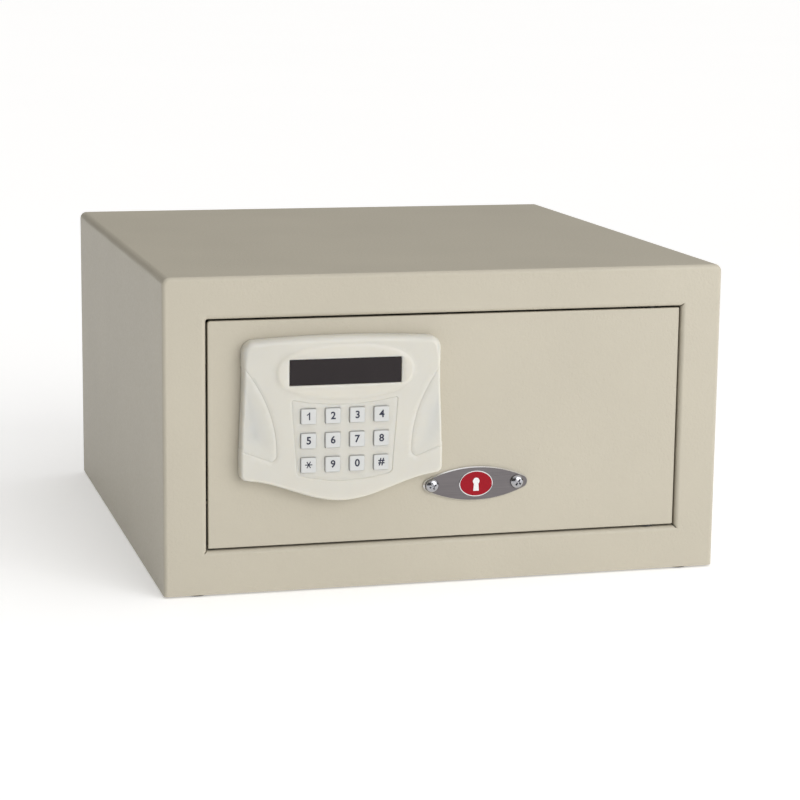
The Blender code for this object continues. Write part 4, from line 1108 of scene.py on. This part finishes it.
def inner_tray():
    """The pressed cover over the bolt work, with a bead in its back and rails for the battery hatch."""
    left, right = TRAY_LOW.x + TRAY_LIP, TRAY_HIGH.x - TRAY_LIP
    bottom, top = GROUND_GAP + 43 * MM, GROUND_GAP + 190 * MM
    near = TRAY_LOW.y

    def flange(bm):
        edge = rounded(left - TRAY_LIP, bottom - 4 * MM, right + TRAY_LIP, top + 4 * MM, 3 * MM, 6)
        loft(bm, [stand(edge, near)] + layers(edge, near + TRAY_SHEET, (0, -0.3), (0.3, 0)))

    def box(bm):
        edge = rounded(left, bottom, right, top, 5 * MM, 8)
        rear = [stand(inset(edge, inward), TRAY_REAR - depth) for depth, inward in fillet(3.5 * MM, 8)]
        loft(bm, [stand(edge, near), *reversed(rear)])

    def hollow(bm):
        edge = rounded(left + TRAY_SHEET, bottom + TRAY_SHEET, right - TRAY_SHEET, top - TRAY_SHEET,
                       4 * MM, 6)
        prism(bm, edge, near - OVER, TRAY_REAR - TRAY_SHEET)

    def bead(bm):
        """A shallow rectangular groove pressed into the back, left of the hatch."""
        outer = rounded(left + 16 * MM, bottom + 20 * MM, HATCH_LOW.x - 74 * MM, top - 20 * MM, 9 * MM, 10)
        inner = inset(outer, 4.2 * MM)
        ring(bm, layers(outer, TRAY_REAR, (0, 1), (0.2, 0.02), (1.0, -0.55))
             + layers(inner, TRAY_REAR, (-1.0, -0.55), (-0.2, 0), (0, 1)))

    def battery_opening(bm):
        edge = rounded(HOLDER_LOW.x + 2 * MM, HOLDER_LOW.z + 2 * MM,
                       HOLDER_HIGH.x - 2 * MM, HOLDER_HIGH.z - 2 * MM, 2 * MM, 6)
        prism(bm, edge, TRAY_REAR - OVER, TRAY_REAR + OVER)

    def rail(edge, way):
        """A hooked rail that holds one edge of the hatch. Its section is in millimetres."""
        rise, hook, stem, gap = 2.1, 2.5, 1.6, 0.3
        section = [(-0.6, 0), (rise, 0), (rise, -hook), (rise + 0.7, -hook), (rise + 1.0, 0.3 - hook),
                   (rise + 1.0, stem - 0.5), (rise + 0.5, stem), (-0.6, stem)]
        points = [(TRAY_REAR + y * MM, edge + way * (gap + z) * MM) for y, z in section]
        ends = (HOLDER_LOW.x - 60 * MM, HOLDER_HIGH.x + 0.5 * MM)
        return "+", lambda bm: loft(bm, [[Vector((x, y, z)) for y, z in points] for x in ends])

    steps = [("+", box), ("-", hollow), ("-", bead), ("-", battery_opening),
             rail(HATCH_LOW.z, -1), rail(HATCH_HIGH.z, 1)]
    steps += [hole(8.6 * MM, (left, centre(name).y, centre(name).z), -OVER, OVER, "X", 48) for name in BOLTS]
    steps += [drilled(name, 2.1 * MM, near, sides=20) for name in COVER_SCREWS]
    piece("inner_tray", flange, "door", PAINT, ["inner_cover"], 30, steps=steps)


def hatch():
    """The sliding hatch with its ribbed thumb grip and an arrow that shows which way it opens."""
    low, high = HATCH_LOW, HATCH_HIGH
    face = high.y - 0.8 * MM
    mid = (low.z + high.z) / 2

    def plate(bm):
        edge = rounded(low.x, low.z, high.x, high.z, 1.5 * MM, 6)
        loft(bm, layers(edge, low.y, (0.15, 0), (0, 0.15)) + layers(edge, face, (0, -0.35), (0.35, 0)))

    def rib(i):
        x, half = low.x + (8 + 2.4 * i) * MM, 10 * MM
        return "+", lambda bm: block(bm, (x, face - 0.4 * MM, mid - half),
                                     (x + 1.3 * MM, high.y, mid + half), 0.35 * MM, 3)

    def arrow(bm):
        tip, base = low.x + 26 * MM, low.x + 31 * MM
        prism(bm, [(tip, mid), (base, mid - 3.2 * MM), (base, mid + 3.2 * MM)], face - 0.35 * MM, face + MM)

    piece("hatch_plate", plate, "hatch", BLACK, ["battery_hatch"], 35,
          steps=[*(rib(i) for i in range(6)), ("-", arrow)])


def cells():
    for i in range(1, 5):
        node = f"battery_{i}"
        low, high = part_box(node)
        at = centre(node)
        radius = (high.x - low.x) / 2
        way = 1 if i % 2 else -1
        start, end = (low.z, high.z) if way > 0 else (high.z, low.z)
        base = ((0, -1.6), (0.25, -1.5), (0.25, -0.7), (0.35, -0.25), (0.8, 0))
        crown = ((2.2, 0), (1.55, -0.4), (1.4, -1.0))
        nub = ((1.4, 2.8), (0.2, 2.6), (0, 2.3))
        steps = [(start + way * far * MM, radius + wider * MM) for far, wider in base]
        steps += [(end - way * far * MM, radius + wider * MM) for far, wider in crown]
        steps += [(end - way * far * MM, nub_r * MM) for far, nub_r in nub]
        wrap = cell_wrap(f"battery_wrap_{i}", start, end)
        made = piece(f"cell_{i}", lambda bm: turned(bm, (at.x, at.y, 0), steps, "Z", 48), "door",
                     [wrap, ZINC], [node], 35)
        for face in made.data.polygons:
            if math.hypot(face.center.x - at.x, face.center.y - at.y) < radius - 0.7 * MM:
                face.material_index = 1


# --- What stays as the CAD has it ---


def dress_cad():
    """Hidden and plain hardware keeps its CAD shape, with welded corners, soft edges and a finish. The hinge
    parts' black is partly their own colour and partly painted shade that keeps the door gap dark.
    """
    looks = {
        # The hinge bushes and pivots get black plastic, partly their own colour and partly painted shade, so
        # that no glint shows in the door gap above them.
        "upper_hinge_bush": BLACK, "lower_hinge_bush": BLACK, "upper_hinge_pivot": BLACK,
        "lower_hinge_pivot": BLACK, "lock_barrel": CHROME, "lock_nut": ZINC, "lock_plug": BRASS,
        "lock_cam": ZINC, "bolt_guide": ZINC, "left_carriage_post": ZINC, "right_carriage_post": ZINC,
        "bolt_carriage": ZINC, "drive_pinion": BRASS, "gear_motor": BLACK, "display_module": BLACK,
        "keypad_board": BOARD, "key_mat": SILICONE, "housing_screw_left": ZINC,
        "housing_screw_right": ZINC, "ribbon_cable": BLACK, "battery_holder": BLACK,
    }
    for name, look in looks.items():
        node = NODES[name]
        node.data.materials.clear()
        node.data.materials.append(look)
        node.data.shade_smooth()
        weld = node.modifiers.new("weld", "WELD")
        weld.merge_threshold = 0.00001
        bevel = node.modifiers.new("soft edges", "BEVEL")
        bevel.width = 0.2 * MM
        bevel.segments = 2
        bevel.limit_method = "ANGLE"
        bevel.angle_limit = math.radians(40)
        bevel.harden_normals = True


# --- Studio ---


def area_light(name, at, aim, size, power, colour=(1, 1, 1)):
    data = bpy.data.lights.new(name, "AREA")
    data.shape = "RECTANGLE"
    data.size, data.size_y = size
    data.energy = power
    data.color = colour
    lamp = bpy.data.objects.new(name, data)
    lamp.location = at
    lamp.rotation_euler = (Vector(aim) - Vector(at)).to_track_quat("-Z", "Y").to_euler()
    bpy.context.scene.collection.objects.link(lamp)


def studio():
    data = bpy.data.cameras.new("camera")
    data.sensor_width = 36
    data.lens = 105.70
    camera = bpy.data.objects.new("camera", data)
    bpy.context.scene.collection.objects.link(camera)
    yaw, pitch, roll = 0.266164, -0.187816, 0.011599
    ahead = Vector((math.sin(yaw) * math.cos(pitch), math.cos(yaw) * math.cos(pitch), math.sin(pitch)))
    flat = Vector((math.cos(yaw), -math.sin(yaw), 0))
    up = flat.cross(ahead)
    right = flat * math.cos(roll) + up * math.sin(roll)
    head = up * math.cos(roll) - flat * math.sin(roll)
    camera.matrix_world = Matrix((right, head, -ahead)).transposed().to_4x4()
    camera.location = (-0.47573, -1.81908, 0.45541)
    bpy.context.scene.camera = camera

    # The room is dark at eye level and has a large soft light overhead.
    world = bpy.data.worlds.new("studio")
    world.use_nodes = True
    tree = world.node_tree
    place = tree.nodes.new("ShaderNodeTexCoord")
    split = tree.nodes.new("ShaderNodeSeparateXYZ")
    overhead = tree.nodes.new("ShaderNodeMapRange")
    overhead.interpolation_type = "SMOOTHSTEP"
    for socket, number in zip(("From Min", "From Max", "To Min", "To Max"), (0.3, 0.88, 0.05, 1.0)):
        overhead.inputs[socket].default_value = number
    background = tree.nodes["Background"]
    background.inputs["Color"].default_value = (1.0, 0.99, 0.975, 1)
    lean = tree.nodes.new("ShaderNodeMath")
    lean.operation = "MULTIPLY_ADD"
    lean.inputs[1].default_value = 0.22
    tree.links.new(place.outputs["Generated"], split.inputs[0])
    tree.links.new(split.outputs["X"], lean.inputs[0])
    tree.links.new(split.outputs["Z"], lean.inputs[2])
    tree.links.new(lean.outputs[0], overhead.inputs["Value"])
    tree.links.new(overhead.outputs[0], background.inputs["Strength"])
    bpy.context.scene.world = world
    bpy.context.scene.view_settings.view_transform = "Standard"

    key = bpy.data.lights.new("key light", "SUN")
    key.energy = 1.15
    key.angle = math.radians(45)
    lamp = bpy.data.objects.new("key light", key)
    lamp.rotation_euler = Vector((0.10, -0.25, 0.12)).to_track_quat("Z", "Y").to_euler()
    bpy.context.scene.collection.objects.link(lamp)
    area_light("right softbox", (1.1, -1.3, 0.5), (0.1, -0.2, 0.1), (1.0, 1.0), 6.6)
    area_light("left softbox", (-0.9, -1.3, 1.1), (0.0, -0.2, 0.1), (0.5, 0.5), 0.2)

    bm = bmesh.new()
    bmesh.ops.create_circle(bm, cap_ends=True, radius=40, segments=96)
    mesh = bpy.data.meshes.new("floor")
    bm.to_mesh(mesh)
    bm.free()
    floor = bpy.data.objects.new("floor", mesh)
    bpy.context.scene.collection.objects.link(floor)
    look = Look("floor", roughness=0.9, Specular_IOR_Level=0.1)
    look.colour(look.noise(0.8, 2.0), (0.90, 0.90, 0.90), (0.92, 0.92, 0.92))
    look.set(look.shader, "Emission Color", (1, 1, 1, 1))
    look.set(look.shader, "Emission Strength", 0.28)
    mesh.materials.append(look.material)


def main():
    studio()
    cabinet_shell()
    back_sheet()
    floor_sheet()
    felt_mat()
    feet()
    door_panel()
    badge()
    for name, spin in (("badge_screw_left", 0.35), ("badge_screw_right", 0.95)):
        screw(name, -1, 2.9 * MM, "door", SCREW_STEEL, spin)
    for spin, name in enumerate(COVER_SCREWS):
        screw(name, 1, 2.1 * MM, "door", ZINC, 0.4 + 0.6 * spin)
    keypad_housing()
    display()
    keys()
    bolts()
    inner_tray()
    hatch()
    cells()
    dress_cad()


main()
